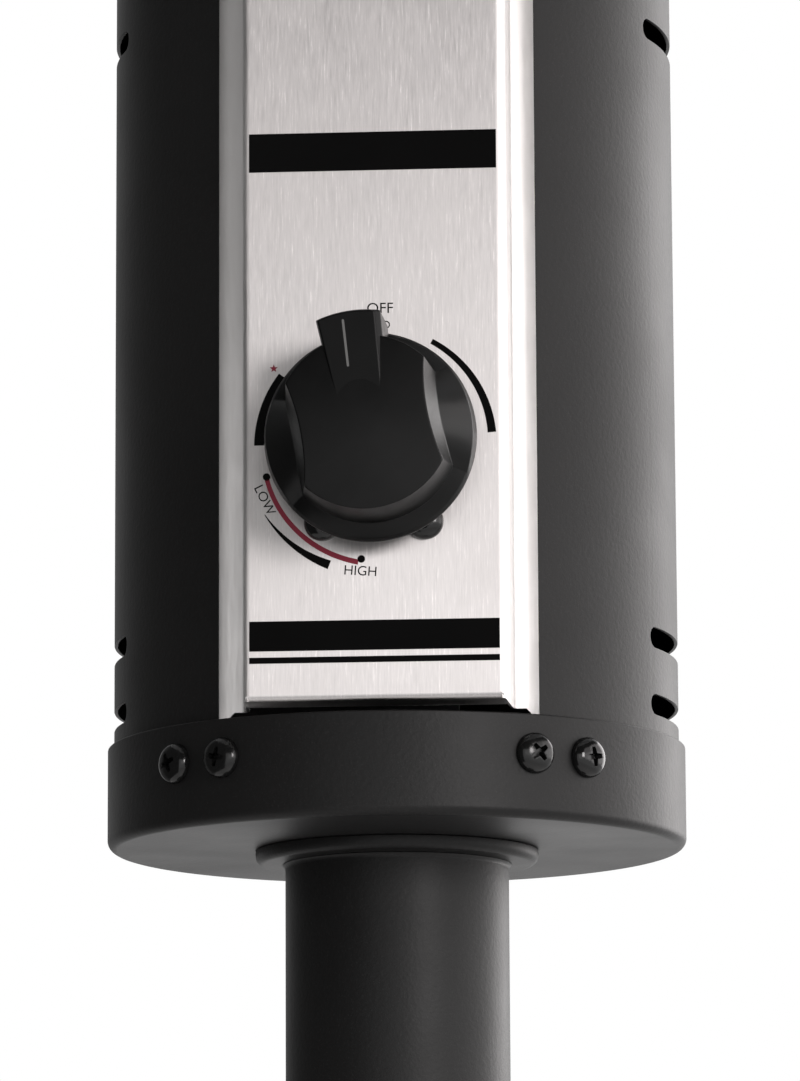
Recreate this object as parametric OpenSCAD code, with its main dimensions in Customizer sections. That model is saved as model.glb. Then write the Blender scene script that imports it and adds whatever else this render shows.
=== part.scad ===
// Floor-standing gas patio heater.
// Millimetres. Floor at z = 0, post axis on Z, control panel facing -Y, +X to the viewer's right.

/* [Base and legs] */
// Diameter of the base pan
base_d = 470; // [440:2:520]
// Height of the base pan's top face
base_h = 26; // [22:1:36]
// Sheet thickness of the base pan
base_t = 2; // [1.5:0.1:3]
// Outer bend radius of the base pan's edge
base_bend = 8; // [4:1:10]
// Diameter of each anchor hole
anchor_d = 9; // [7:0.5:11]
// Pitch circle diameter of the anchor holes
anchor_pcd = 438; // [430:1:444]
// Width of a support leg
leg_w = 36; // [28:1:44]
// Thickness of a support leg
leg_t = 4; // [3:0.5:5]
// Distance from the post axis to a leg's outer face
leg_r = 182; // [172:1:188]
// Height at which the legs turn inwards
leg_turn_z = 560; // [500:5:580]

/* [Post] */
// Outer diameter of the post
post_d = 60; // [50:1:66]
// Wall thickness of the post
post_t = 1.5; // [1.2:0.1:2.5]
// Height of the post's lower end
post_z = 640; // [630:2:650]
// Diameter of the collar at the top of the post
collar_d = 76; // [70:1:86]
// Thickness of that collar
collar_t = 3.8; // [3:0.1:6]
// Diameter of the hose hole through the collar and the cap
hose_hole_d = 34; // [26:1:36]

/* [Gas bottle housing] */
// Outer diameter of the housing
housing_d = 410; // [400:1:416]
// Sheet thickness of the housing
housing_t = 1; // [0.8:0.1:1.5]
// Height of the housing's top edge
housing_top = 770; // [760:2:800]
// Rise of the lid above the housing's top edge
lid_rise = 34; // [20:1:50]

/* [Control head] */
// Height of the head's underside
head_z = 1600; // [1560:5:1620]
// Height of the head
head_h = 273; // [262:1:300]
// Outer radius of the head's shell
shell_r = 76; // [74:0.5:80]
// Sheet thickness of the shell
shell_t = 1; // [0.8:0.1:1.5]
// Height of each end cap's skirt
cap_h = 27.1; // [24:0.1:30]
// Sheet thickness of the end caps
cap_t = 1.6; // [1.2:0.1:2]
// Outer bend radius of the end caps
cap_bend = 2.6; // [2.2:0.1:4]
// Head diameter of the cap screws
cap_screw_head_d = 10.6; // [8:0.1:11]
// Angle of the inner cap screws from the front
screw_in_a = 31.3; // [28:0.1:33]
// Angle of the outer cap screws from the front
screw_out_a = 43.5; // [42:0.1:50]
// Height of the vent slots
slot_h = 5.4; // [4:0.1:7]
// Vertical pitch of the two lower vent slots
slot_pitch = 17.9; // [14:0.1:18]
// Distance from the head's underside to the lowest slot
slot_z = 34.7; // [34:0.1:38]
// Distance from the head's top to the upper slot
slot_top = 54.3; // [50:0.1:58]
// Angle at which the slots start, from the front
slot_a = 66.5; // [58:0.5:75]

/* [Control panel] */
// Half the width of the panel's raised face
panel_w = 33.7; // [31:0.1:35]
// Distance from the post axis to the face
panel_y = 77.3; // [76.5:0.1:80]
// Distance from the post axis to the flanges
flange_y = 58; // [56:0.5:60]
// Width of the window in the shell
window_w = 83.2; // [80:0.2:86]
// Sheet thickness of the panel
panel_t = 0.8; // [0.6:0.1:1]
// Bend radius of the panel
panel_bend = 1.4; // [1.2:0.1:4]
// Distance from the head's ends to the raised face
panel_end = 30.9; // [29:0.1:36]
// Height of the knob's axis above the head's underside
knob_z = 96.4; // [94:0.2:100]

/* [Knob and valve] */
// Diameter of the knob at its skirt
knob_d = 54.8; // [52:0.2:56]
// Gap between the panel and the knob's skirt
knob_gap = 9; // [8.6:0.2:11]
// Depth of the knob from skirt to front
knob_h = 24; // [22:0.5:26]
// Turn of the knob's pointer at rest, anticlockwise from the top
knob_turn = 10; // [0:0.5:14]
// Width of the pointer
pointer_w = 14.4; // [12:0.2:16]
// Reach of the pointer from the knob's axis
pointer_r = 29.6; // [29:0.1:31]
// Push travel of the knob
push = 4; // [3:0.1:4]
// Diameter of the valve's stem
stem_d = 8; // [7:0.1:9]

/* [Burner and emitter] */
// Outer radius of the emitter screen
screen_r = 82; // [80:0.5:84]
// Height of the emitter screen
screen_h = 250; // [220:5:270]
// Sheet thickness of the emitter screen
screen_t = 0.8; // [0.6:0.1:1.2]
// Slots in each row of the screen
screen_cols = 30; // [24:1:36]
// Rows of slots in the screen
screen_rows = 5; // [3:1:6]
// Radius of the burner head
burner_r = 40; // [34:1:42]
// Height of the burner head
burner_h = 36; // [30:1:42]

/* [Reflector] */
// Diameter of the reflector
reflector_d = 813; // [780:1:840]
// Drop from the reflector's crown to its rim
reflector_drop = 86; // [78:1:96]
// Sheet thickness of the reflector
reflector_t = 1; // [0.8:0.1:1.2]
// Length of the reflector studs
stud_l = 66; // [62:1:80]

/* [Wheels] */
// Diameter of a wheel
wheel_d = 64; // [56:1:66]
// Width of a wheel
wheel_w = 22; // [18:1:26]
// Diameter of the axle
axle_d = 8; // [6:0.5:10]

/* [Clearances] */
// Radial gap around pieces that are fixed together
fit_gap = 0.1; // [0.1:0.02:0.2]
// Radial gap around turning and sliding shafts
run_gap = 0.05; // [0.04:0.01:0.08]
// Gap between pieces that move past each other
move_gap = 0.6; // [0.4:0.1:1]

/* [Hidden] */
$fn = 48;
round_fn = 96;
bend_steps = 5;
bend_overlap = 0.35;
eps = 0.01;
cut_past = 2;

base_r = base_d / 2;
post_r = post_d / 2;
housing_r = housing_d / 2;
cap_r = shell_r + fit_gap + cap_t;
cap_in_r = shell_r + fit_gap;
shell_in_r = shell_r - shell_t;
head_top = head_z + head_h;
post_top = head_z - collar_t;

leg_angles = [90, 210, 330];
leg_bolt_d = 8;
leg_bolt_af = 13;
leg_bolt_head = 5.3;
leg_nut_h = 6.5;
post_nut_r = sqrt(pow(post_r - post_t, 2) - pow(leg_bolt_af / 2 / cos(30), 2)) - fit_gap;
leg_foot = 48;
leg_foot_bolts_r = [leg_r - 18, leg_r - 36];
leg_tab_z = [post_z + 24, post_z + 62];
leg_top_z = post_z + 78;
leg_slope = 90;
anchor_angles = [45, 135, 225, 315];

lid_t = housing_t;
lid_skirt = 18;
lid_hole_r = post_r + 6;
rivet_d = 4;
rivet_head = 1.6;
rivet_count = 8;
rivet_z = housing_top - lid_skirt / 2;
grommet_lip = 2;

m5 = 5;
m5_nut_af = 8;
m5_nut_h = 4;
cap_screw_angles = [-screw_out_a, -screw_in_a, screw_in_a, screw_out_a, 140, 220];
cap_screw_z = 16.8;
cap_screw_l = 5;
cap_screw_head_h = 3.4;
cross_w = 1.3;
cross_l = 5.4;
cross_depth = 1.6;
collar_screw_r = 24;
collar_screw_angles = [60, 180, 300];
collar_screw_head_h = 3.5;

flange_x = sqrt(pow(shell_in_r - fit_gap, 2) - pow(flange_y, 2));
flange_end = 18;
flange_notch = 4.7;
panel_draft = 1.1;
lip_depth = 12;
window_z = cap_h - 1;
stem_hole_d = 16;
knob_edge = 1;
knob_skirt = 3;
wall_lean = 2.9;
shoulder_h = 6;
dome_inset = [6.4, 12, 18];
dome_fall = [2.5, 1.1, 0.3];
hollow_r = 42;
hollow_reach = 17;
hollow_tilt = 24;
pointer_lean = 1.2;
pointer_top = knob_gap + knob_h - 0.4;
knob_boss_d = 22;
index_w = 1.2;
index_start = 15;
index_l = 12.5;
index_h = 1;
valve_screw_x = 13.3;
valve_screw_z = -20.4;
valve_screw_head_d = 9.6;
valve_screw_head_h = 3.4;
valve_screw_l = 14;

bracket_t = 2;
bracket_w = 40;
bracket_up = 24;
bracket_shelf_z = panel_end + 4;
bracket_back_y = -50;
bracket_foot = 14;

valve_w = 40;
valve_front = -panel_y + panel_t + bracket_t;
valve_l = 50;
valve_back = valve_front + valve_l;
valve_low = 28;
valve_high = 16;
stem_guide = 16;
plunger_d = 14;
plunger_l = 10;
plunger_gap = 0.3;
cavity_l = 40;
stem_tail_d = 5;
stem_tail_l = 6;
stem_in_knob = 16;
stem_flat = 1.2;
stem_shoulder_y = valve_front + stem_guide + 2;
port_d = 10;
port_l = 8;
port_y = valve_front + 30;

elbow_d = 14;
elbow_up = 14;
jet_h = 14;
jet_af = 12;
mixer_r = 12;
mixer_in_r = 11;
mixer_bell_r = 16;
mixer_bell_h = 16;
mixer_z = knob_z + elbow_up + 8;
mixer_ring_r = 22;
mixer_ring_t = 1.5;
mixer_step_r = 15;

dish_t = 1;
dish_floor_r = 86;
dish_r = 94;
dish_rim = 20;
dish_screw_r = 64;
dish_screw_angles = [55, 145, 215, 305];
dish_top = head_h + dish_t;
burner_t = 1;
burner_z = dish_top + 30;
burner_neck = 12;
burner_ports = 16;
burner_port_d = 5;
burner_port_z = [12, 21];
burner_bevel = [8, 6];

pilot_x = 58;
pilot_pitch = 14;
pilot_bracket_w = 42;
pilot_bracket_t = 1.5;
pilot_back_x = 50;
pilot_foot_x = 67;
pilot_shelf = 46;
pilot_tube_d = 6;
pilot_head_d = 11;
pilot_head_h = 18;
couple_d = 5;
couple_tip = 28;
couple_lead_d = 3;
couple_nut_d = 9;
couple_nut_h = 5;
electrode_d = 8;
electrode_low = 14;
electrode_high = 12;
electrode_pin_d = 2.4;
electrode_pin = 12;
lead_d = 4;
pipe_x = 12;
pilot_rise = [24, 60];
couple_rise = [72, 110];
lead_rise = [10, 40, 70];
pipe_y = valve_front + 34;
piezo_d = 16;
piezo_h = 46;
piezo_x = -(valve_w / 2 + piezo_d / 2);
piezo_y = valve_front + 26;
tilt_box = [34, 22, 26];
tilt_y = 48;

top_plate_t = 1.2;
top_plate_r = screen_r + top_plate_t + 1.2;
top_plate_bend = 2;
top_plate_skirt = 14;
top_plate_z = head_top + dish_t + screen_h + top_plate_t;
screen_slot_w = 5;
screen_margin = 26;
screen_row_gap = 9;

stud_r = 60;
stud_d = 8;
stud_angles = [60, 180, 300];
stud_nut_af = 13;
stud_nut_h = 6.5;
crown_z = top_plate_z + stud_l - 20;
crown_r = 96;
crown_hole_r = 46;
hub_r = 86;
hub_t = 1.5;
mid_r = 250;
mid_drop = 0.34;
rim_r = reflector_d / 2;
rim_flat = 10;
rim_lip = 14;
rim_fall = 4;
seam_gap_a = 0.08;
seam_bolt_a = 1.8;
seam_r = [170, 325];
strip_r = [106, 386];
strip_a = 3.6;
strip_gap = 0.05;
seam_nut_gap = 0.15;
wing_hub_d = 15;
wing_hub_h = 9;
wing_span = 36;
wing_h = 15;
wing_t = 2.4;
wing_root = 4;
wing_waist = [14.4, 6.3];
wing_tip = 5;
wing_hub_draft = 3;

ear_x = 70;
ear_t = 3;
wheel_bracket_w = 2 * ear_x;
wheel_bracket_t = 2.5;
wheel_bracket_l = 32;
wheel_bracket_start = housing_r + 4;
wheel_bracket_end = max(base_r + 6, wheel_bracket_start + wheel_bracket_l);
axle_y = wheel_bracket_end + 22;
axle_z = wheel_d / 2 + 5;
ear_r = 11;
ear_nose = 8;
wheel_gap = 2;
wheel_x = ear_x + wheel_gap + wheel_w / 2;
axle_l = 2 * (wheel_x + wheel_w / 2 + wheel_gap) + 12;
axle_cap_d = 16;
axle_cap_h = 7;
wheel_hub_r = 12.8;
rim_in_r = wheel_d / 2 - 6.4;
web_draft = 1.3;
web_sink = 3;
tread_edge = 3;

// Flat path helpers: a corner rounded by an arc, a bent path, and a sheet of thickness t along it.
function unit(v) = v / norm(v);
function left_of(v) = [-v[1], v[0]];
function corner(p, q, s, r, n) =
    let (a = unit(p - q), b = unit(s - q), half = acos(a * b) / 2)
    let (c = q + unit(a + b) * r / sin(half), d = r / tan(half))
    let (u = q + a * d - c, w = q + b * d - c)
    let (a0 = atan2(u[1], u[0]), da = atan2(u[0] * w[1] - u[1] * w[0], u * w))
    [for (k = [0 : n]) c + r * [cos(a0 + da * k / n), sin(a0 + da * k / n)]];
function bent(path, r, n = bend_steps) =
    [path[0],
     for (i = [1 : len(path) - 2]) each corner(path[i - 1], path[i], path[i + 1], r, n),
     path[len(path) - 1]];
function shifted(path, t) =
    [for (i = [0 : len(path) - 1])
        let (a = unit(i > 0 ? path[i] - path[i - 1] : path[1] - path[0]))
        let (b = unit(i < len(path) - 1 ? path[i + 1] - path[i] : path[i] - path[i - 1]))
        let (m = left_of(a), n = left_of(b))
        path[i] + t * (m + n) / (1 + m * n)];
function sheet(path, t) =
    let (other = shifted(path, t))
    concat(path, [for (i = [len(other) - 1 : -1 : 0]) other[i]]);

// Moves a drawing from the head's own frame, whose origin is the centre of its underside.
module at_head() {
    translate([0, 0, head_z])
        children();
}

// Turns a radial profile so that x is the distance from the post and y is the height.
module radial_bar(angle, width) {
    rotate([0, 0, angle])
        rotate([90, 0, 0])
            linear_extrude(width, center = true)
                children();
}

// Turns a side profile so that x runs along Y, y runs along Z, and it is drawn across X.
module side_bar(width) {
    rotate([90, 0, 90])
        linear_extrude(width, center = true)
            children();
}

// Puts +Z along the outward radius at an angle measured from the front, at radius r and height z.
module outward(angle, r, z) {
    rotate([0, 0, angle - 90])
        translate([r, 0, z])
            rotate([0, 90, 0])
                children();
}

// Puts +Z along -Y, towards the viewer, at a place on the knob's axis frame.
module forward(x, y, z) {
    translate([x, y, z])
        rotate([90, 0, 0])
            children();
}

module hex(af, h) {
    cylinder(d = af / cos(30), h = h, $fn = 6);
}

module hex_bolt(d, l, af, head) {
    hex(af, head);
    translate([0, 0, -l])
        cylinder(d = d, h = l + eps, $fn = 24);
}

module hex_nut(d, af, h) {
    difference() {
        hex(af, h);
        translate([0, 0, -1])
            cylinder(d = d + 2 * fit_gap, h = h + 2, $fn = 24);
    }
}

module pan_screw(d, l, head_d, head) {
    difference() {
        rotate_extrude($fn = 32)
            polygon([[0, 0], [head_d / 2, 0], [head_d / 2, head * 0.35], [head_d * 0.42, head * 0.72],
                [head_d * 0.28, head * 0.94], [0, head]]);
        for (a = [0, 90])
            rotate([0, 0, a])
                translate([-cross_l / 2, -cross_w / 2, head - cross_depth])
                    cube([cross_l, cross_w, cross_depth + 1]);
    }
    translate([0, 0, -l])
        cylinder(d = d, h = l + eps, $fn = 24);
}

// Round rod through a list of points.
module rod(points, d) {
    for (i = [0 : len(points) - 2]) {
        v = points[i + 1] - points[i];
        before = i > 0 ? d * bend_overlap : 0;
        after = i < len(points) - 2 ? d * bend_overlap : 0;
        translate(points[i])
            rotate([0, acos(v[2] / norm(v)), atan2(v[1], v[0])])
                translate([0, 0, -before])
                    cylinder(d = d, h = norm(v) + before + after, $fn = 20);
    }
}

module leg_bolt_holes(d) {
    for (a = leg_angles)
        rotate([0, 0, a])
            for (r = leg_foot_bolts_r)
                translate([r, 0, 0])
                    cylinder(d = d, h = base_h + leg_t + 1, $fn = 24);
}

module base_pan() {
    color("#2c2c2e")
        difference() {
            rotate_extrude($fn = round_fn)
                polygon(sheet(bent([[0, base_h], [base_r, base_h], [base_r, 0]], base_bend), -base_t));
            leg_bolt_holes(leg_bolt_d + 2 * fit_gap);
            for (a = anchor_angles)
                rotate([0, 0, a])
                    translate([anchor_pcd / 2, 0, 0])
                        cylinder(d = anchor_d, h = base_h + 1, $fn = 24);
        }
}

// Leg bent from flat bar: foot on the pan, upright, slope, and a tab against the post.
module leg(angle) {
    path = [[leg_r - leg_foot, base_h], [leg_r, base_h], [leg_r, leg_turn_z],
        [post_r + fit_gap + leg_t, leg_turn_z + leg_slope], [post_r + fit_gap + leg_t, leg_top_z]];
    color("#2c2c2e")
        difference() {
            radial_bar(angle, leg_w)
                polygon(sheet(path, leg_t));
            leg_bolt_holes(leg_bolt_d + 2 * fit_gap);
            for (z = leg_tab_z)
                outward(angle + 90, 0, z)
                    cylinder(d = leg_bolt_d + 2 * fit_gap, h = leg_r, $fn = 24);
        }
}

module leg_back() {
    leg(leg_angles[0]);
}

module leg_left() {
    leg(leg_angles[1]);
}

module leg_right() {
    leg(leg_angles[2]);
}

module leg_foot_bolts() {
    color("#b8b8bc")
        for (a = leg_angles)
            rotate([0, 0, a])
                for (r = leg_foot_bolts_r)
                    translate([r, 0, base_h + leg_t])
                        hex_bolt(leg_bolt_d, leg_t + base_t + leg_nut_h + 2, leg_bolt_af, leg_bolt_head);
}

module leg_foot_nuts() {
    color("#b8b8bc")
        for (a = leg_angles)
            rotate([0, 0, a])
                for (r = leg_foot_bolts_r)
                    translate([r, 0, base_h - base_t - leg_nut_h])
                        hex_nut(leg_bolt_d, leg_bolt_af, leg_nut_h);
}

module leg_post_bolts() {
    color("#b8b8bc")
        for (a = leg_angles)
            for (z = leg_tab_z)
                outward(a + 90, post_r + fit_gap + leg_t, z)
                    hex_bolt(leg_bolt_d, leg_t + post_r - post_nut_r + leg_nut_h, leg_bolt_af, leg_bolt_head);
}

module leg_post_nuts() {
    color("#b8b8bc")
        for (a = leg_angles)
            for (z = leg_tab_z)
                outward(a + 90, post_nut_r - leg_nut_h, z)
                    hex_nut(leg_bolt_d, leg_bolt_af, leg_nut_h);
}

module wheel_bracket() {
    ear = [[wheel_bracket_start, base_h + eps], [wheel_bracket_end, base_h + eps],
        [axle_y, axle_z - ear_r], [axle_y + ear_r, axle_z - ear_r / 2],
        [axle_y + ear_r, axle_z + ear_r / 2], [axle_y, axle_z + ear_r],
        [wheel_bracket_end, axle_z + ear_r], [wheel_bracket_start + ear_nose, base_h + ear_nose]];
    color("#2c2c2e")
        difference() {
            union() {
                translate([-wheel_bracket_w / 2, wheel_bracket_start, base_h])
                    cube([wheel_bracket_w, wheel_bracket_end - wheel_bracket_start, wheel_bracket_t]);
                for (side = [-1, 1])
                    translate([side * (ear_x - ear_t / 2), 0, 0])
                        side_bar(ear_t)
                            polygon(ear);
            }
            translate([-axle_l / 2, axle_y, axle_z])
                rotate([0, 90, 0])
                    cylinder(d = axle_d + 2 * fit_gap, h = axle_l, $fn = 24);
        }
}

module wheel_axle() {
    color("#b8b8bc")
        translate([-axle_l / 2, axle_y, axle_z])
            rotate([0, 90, 0])
                cylinder(d = axle_d, h = axle_l, $fn = 24);
}

// Wheel with a hub, a thinner web on each face and a bevelled tread.
module wheel(side) {
    r = wheel_d / 2;
    h = wheel_w / 2;
    upper = [[wheel_hub_r, h], [wheel_hub_r + web_draft, h - web_sink], [rim_in_r - web_draft, h - web_sink],
        [rim_in_r, h], [r - tread_edge, h], [r, h - tread_edge]];
    lower = [for (i = [len(upper) - 1 : -1 : 0]) [upper[i][0], -upper[i][1]]];
    color("#1c1c1c")
        translate([side * wheel_x, axle_y, axle_z])
            rotate([0, 90, 0])
                rotate_extrude($fn = 64)
                    polygon(concat([[axle_d / 2 + run_gap, h]], upper, lower, [[axle_d / 2 + run_gap, -h]]));
}

module wheel_left() {
    wheel(-1);
}

module wheel_right() {
    wheel(1);
}

module axle_caps() {
    color("#1c1c1c")
        for (side = [-1, 1])
            translate([side * (wheel_x + wheel_w / 2 + wheel_gap), axle_y, axle_z])
                rotate([0, side * 90, 0])
                    difference() {
                        cylinder(d = axle_cap_d, h = axle_cap_h, $fn = 32);
                        translate([0, 0, -1])
                            cylinder(d = axle_d + 2 * fit_gap, h = axle_cap_h, $fn = 24);
                    }
}

module rivet_holes(d) {
    for (i = [0 : rivet_count - 1])
        outward(i * 360 / rivet_count, housing_r - housing_t - lid_t - cut_past, rivet_z)
            cylinder(d = d, h = housing_t + lid_t + 2 * cut_past, $fn = 20);
}

module bottle_housing() {
    color("#2c2c2e")
        difference() {
            translate([0, 0, base_h])
                cylinder(r = housing_r, h = housing_top - base_h, $fn = round_fn);
            translate([0, 0, base_h - 1])
                cylinder(r = housing_r - housing_t, h = housing_top - base_h + 2, $fn = round_fn);
            rivet_holes(rivet_d + 2 * fit_gap);
        }
}

// Lid: skirt inside the housing's top edge, a bent shoulder, and a shallow cone up to the post.
module housing_lid() {
    edge_r = housing_r - housing_t - fit_gap;
    path = [[lid_hole_r, housing_top + lid_rise], [lid_hole_r + 14, housing_top + lid_rise],
        [edge_r, housing_top + 4], [edge_r, housing_top - lid_skirt]];
    color("#2c2c2e")
        difference() {
            rotate_extrude($fn = round_fn)
                polygon(sheet(bent(path, 6), -lid_t));
            rivet_holes(rivet_d + 2 * fit_gap);
        }
}

module lid_rivets() {
    color("#2c2c2e")
        for (i = [0 : rivet_count - 1])
            outward(i * 360 / rivet_count, housing_r, rivet_z) {
                cylinder(d1 = rivet_d * 2, d2 = rivet_d, h = rivet_head, $fn = 20);
                translate([0, 0, -housing_t - lid_t - fit_gap - rivet_head])
                    cylinder(d = rivet_d, h = housing_t + lid_t + fit_gap + rivet_head + eps, $fn = 20);
            }
}

// Rubber ring that lines the lid's hole and guides it along the post.
module lid_grommet() {
    z = housing_top + lid_rise;
    in_r = post_r + move_gap;
    groove_r = lid_hole_r - fit_gap;
    color("#161616")
        rotate_extrude($fn = 64)
            polygon([[in_r, z - lid_t - grommet_lip], [groove_r + 4, z - lid_t - grommet_lip],
                [groove_r + 4, z - lid_t], [groove_r, z - lid_t], [groove_r, z], [groove_r + 4, z],
                [groove_r + 4, z + grommet_lip - 0.8], [groove_r + 3, z + grommet_lip],
                [in_r, z + grommet_lip]]);
}

module post() {
    color("#2c2c2e")
        difference() {
            translate([0, 0, post_z])
                cylinder(r = post_r, h = post_top - post_z, $fn = round_fn);
            translate([0, 0, post_z - 1])
                cylinder(r = post_r - post_t, h = post_top - post_z + 2, $fn = round_fn);
            for (a = leg_angles)
                for (z = leg_tab_z)
                    outward(a + 90, post_r - post_t - cut_past, z)
                        cylinder(d = leg_bolt_d + 2 * fit_gap, h = post_t + 2 * cut_past, $fn = 24);
        }
}

module collar_screw_holes(z, h) {
    for (a = collar_screw_angles)
        rotate([0, 0, a])
            translate([collar_screw_r, 0, z])
                cylinder(d = m5 + 2 * fit_gap, h = h, $fn = 24);
}

module post_collar() {
    color("#2c2c2e")
        at_head()
            difference() {
                translate([0, 0, -collar_t])
                    cylinder(d = collar_d, h = collar_t, $fn = round_fn);
                translate([0, 0, -collar_t - 1])
                    cylinder(d = hose_hole_d, h = collar_t + 2);
                collar_screw_holes(-collar_t - 1, collar_t + 2);
            }
}

module collar_screws() {
    color("#b8b8bc")
        at_head()
            for (a = collar_screw_angles)
                rotate([0, 0, a])
                    translate([collar_screw_r, 0, cap_t])
                        hex_bolt(m5, cap_t + collar_t, m5_nut_af, collar_screw_head_h);
}

module cap_screw_holes(d) {
    for (a = cap_screw_angles)
        outward(a, shell_in_r - cut_past, cap_screw_z)
            cylinder(d = d, h = cap_r - shell_in_r + 2 * cut_past, $fn = 24);
}

// Shallow cup with a rounded edge, open upwards, with screw holes through its skirt.
module end_cap(hole_r) {
    difference() {
        rotate_extrude($fn = round_fn)
            polygon(sheet(bent([[hole_r, 0], [cap_r, 0], [cap_r, cap_h]], cap_bend), cap_t));
        cap_screw_holes(m5 + 2 * fit_gap);
    }
}

module cap_screw_set() {
    for (a = cap_screw_angles)
        outward(a, cap_r, cap_screw_z)
            pan_screw(m5, cap_screw_l, cap_screw_head_d, cap_screw_head_h);
}

// Turns what is drawn at the head's lower end over to its upper end.
module at_upper_end() {
    translate([0, 0, head_h])
        mirror([0, 0, 1])
            children();
}

module head_base_cap() {
    color("#222224")
        at_head()
            difference() {
                end_cap(hose_hole_d / 2);
                collar_screw_holes(-1, cap_t + 2);
            }
}

module cap_screws() {
    color("#222224")
        at_head()
            cap_screw_set();
}

// Vent slot with clipped ends, cut through both sides of the shell.
module slot_cut(z) {
    reach = shell_r * cos(slot_a);
    h = slot_h / 2;
    for (side = [-1, 1])
        translate([side * shell_r, 0, z])
            side_bar(shell_r)
                polygon([[-reach, -h / 2], [-reach + h / 2, -h], [reach - h / 2, -h], [reach, -h / 2],
                    [reach, h / 2], [reach - h / 2, h], [-reach + h / 2, h], [-reach, h / 2]]);
}

module head_shell() {
    color("#222224")
        at_head()
            difference() {
                translate([0, 0, cap_bend])
                    cylinder(r = shell_r, h = head_h - 2 * cap_bend, $fn = round_fn);
                cylinder(r = shell_in_r, h = head_h, $fn = round_fn);
                translate([-window_w / 2, -shell_r - 1, window_z])
                    cube([window_w, shell_r, head_h - 2 * window_z]);
                for (z = [slot_z, slot_z + slot_pitch, head_h - slot_top])
                    slot_cut(z);
                cap_screw_holes(m5 + 2 * fit_gap);
                at_upper_end()
                    cap_screw_holes(m5 + 2 * fit_gap);
            }
}

// Hat section of bent sheet: raised face, side walls, flanges behind the shell, closed ends.
module control_panel() {
    foot = panel_w + panel_draft;
    lip_w = panel_w + panel_draft * lip_depth / (panel_y - flange_y);
    face = [[-flange_x, -flange_y], [-foot, -flange_y], [-panel_w, -panel_y],
        [panel_w, -panel_y], [foot, -flange_y], [flange_x, -flange_y]];
    lip = [[-lip_w, lip_depth - panel_y], [-panel_w, -panel_y], [panel_w, -panel_y],
        [lip_w, lip_depth - panel_y]];
    inner = panel_w + flange_notch;
    color("#c9c8c4")
        at_head()
            difference() {
                union() {
                    translate([0, 0, panel_end])
                        linear_extrude(head_h - 2 * panel_end)
                            polygon(sheet(bent(face, panel_bend), panel_t));
                    for (z = [panel_end, head_h - panel_end - panel_t])
                        translate([0, 0, z])
                            linear_extrude(panel_t)
                                polygon(bent(lip, panel_bend));
                    for (side = [-1, 1])
                        translate([side > 0 ? inner : -flange_x, -flange_y, flange_end])
                            cube([flange_x - inner, panel_t, head_h - 2 * flange_end]);
                }
                forward(0, -panel_y + 5, knob_z)
                    cylinder(d = stem_hole_d, h = 10);
                for (side = [-1, 1])
                    forward(side * valve_screw_x, -panel_y + 5, knob_z + valve_screw_z)
                        cylinder(d = m5 + 2 * fit_gap, h = 10, $fn = 24);
            }
}

module service_holes(z, h) {
    translate([0, 0, z])
        cylinder(r = mixer_r + fit_gap, h = h);
    translate([pilot_x, 0, z])
        cylinder(d = pilot_tube_d + 2 * fit_gap, h = h, $fn = 24);
    translate([pilot_x, pilot_pitch, z])
        cylinder(d = couple_lead_d + 2 * fit_gap, h = h, $fn = 24);
    translate([pilot_x, -pilot_pitch, z])
        cylinder(d = lead_d + 2 * fit_gap, h = h, $fn = 24);
}

module dish_screw_holes(z, h) {
    for (a = dish_screw_angles)
        rotate([0, 0, a])
            translate([dish_screw_r, 0, z])
                cylinder(d = m5 + 2 * fit_gap, h = h, $fn = 24);
}

module head_top_cap() {
    color("#222224")
        at_head()
            difference() {
                at_upper_end()
                    end_cap(mixer_r + fit_gap);
                service_holes(head_h - cap_t - 1, cap_t + 2);
                dish_screw_holes(head_h - cap_t - 1, cap_t + 2);
            }
}

module top_cap_screws() {
    color("#222224")
        at_head()
            at_upper_end()
                cap_screw_set();
}

// Frame on the knob's axis with +Z towards the viewer, starting at the panel's face.
module at_knob() {
    at_head()
        forward(0, -panel_y, knob_z)
            children();
}

module stem_section(grow) {
    difference() {
        circle(d = stem_d + 2 * grow, $fn = 32);
        translate([-stem_d, stem_d / 2 - stem_flat + grow])
            square([2 * stem_d, stem_d]);
    }
}

// Knob: tapered body with a domed front, a pointer ridge, and a thumb hollow on each side.
module control_knob() {
    r = knob_d / 2;
    front = knob_gap + knob_h;
    body = [[0, knob_gap], [r - knob_edge, knob_gap], [r, knob_gap + knob_edge],
        [r, knob_gap + knob_skirt], [r - wall_lean, front - shoulder_h],
        [r - dome_inset[0], front - dome_fall[0]], [r - dome_inset[1], front - dome_fall[1]],
        [r - dome_inset[2], front - dome_fall[2]], [0, front]];
    color("#1a1a1b")
        at_knob()
            rotate([0, 0, knob_turn])
                difference() {
                    union() {
                        difference() {
                            rotate_extrude($fn = 64)
                                polygon(body);
                            for (side = [-1, 1])
                                translate([side * hollow_reach, 0, front])
                                    rotate([0, -side * hollow_tilt, 0])
                                        translate([side * hollow_r, 0, -2 * knob_h])
                                            cylinder(r = hollow_r, h = 3 * knob_h, $fn = round_fn);
                        }
                        intersection() {
                            translate([-pointer_w / 2, 0, knob_gap])
                                cube([pointer_w, pointer_r + 1, knob_h]);
                            cylinder(r1 = pointer_r, r2 = pointer_r - pointer_lean,
                                h = pointer_top, $fn = 64);
                        }
                        translate([0, 0, push + 1])
                            cylinder(d = knob_boss_d, h = knob_gap);
                    }
                    translate([0, 0, push])
                        linear_extrude(stem_in_knob + knob_gap - push)
                            stem_section(fit_gap);
                    index_shape(fit_gap);
                }
}

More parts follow.
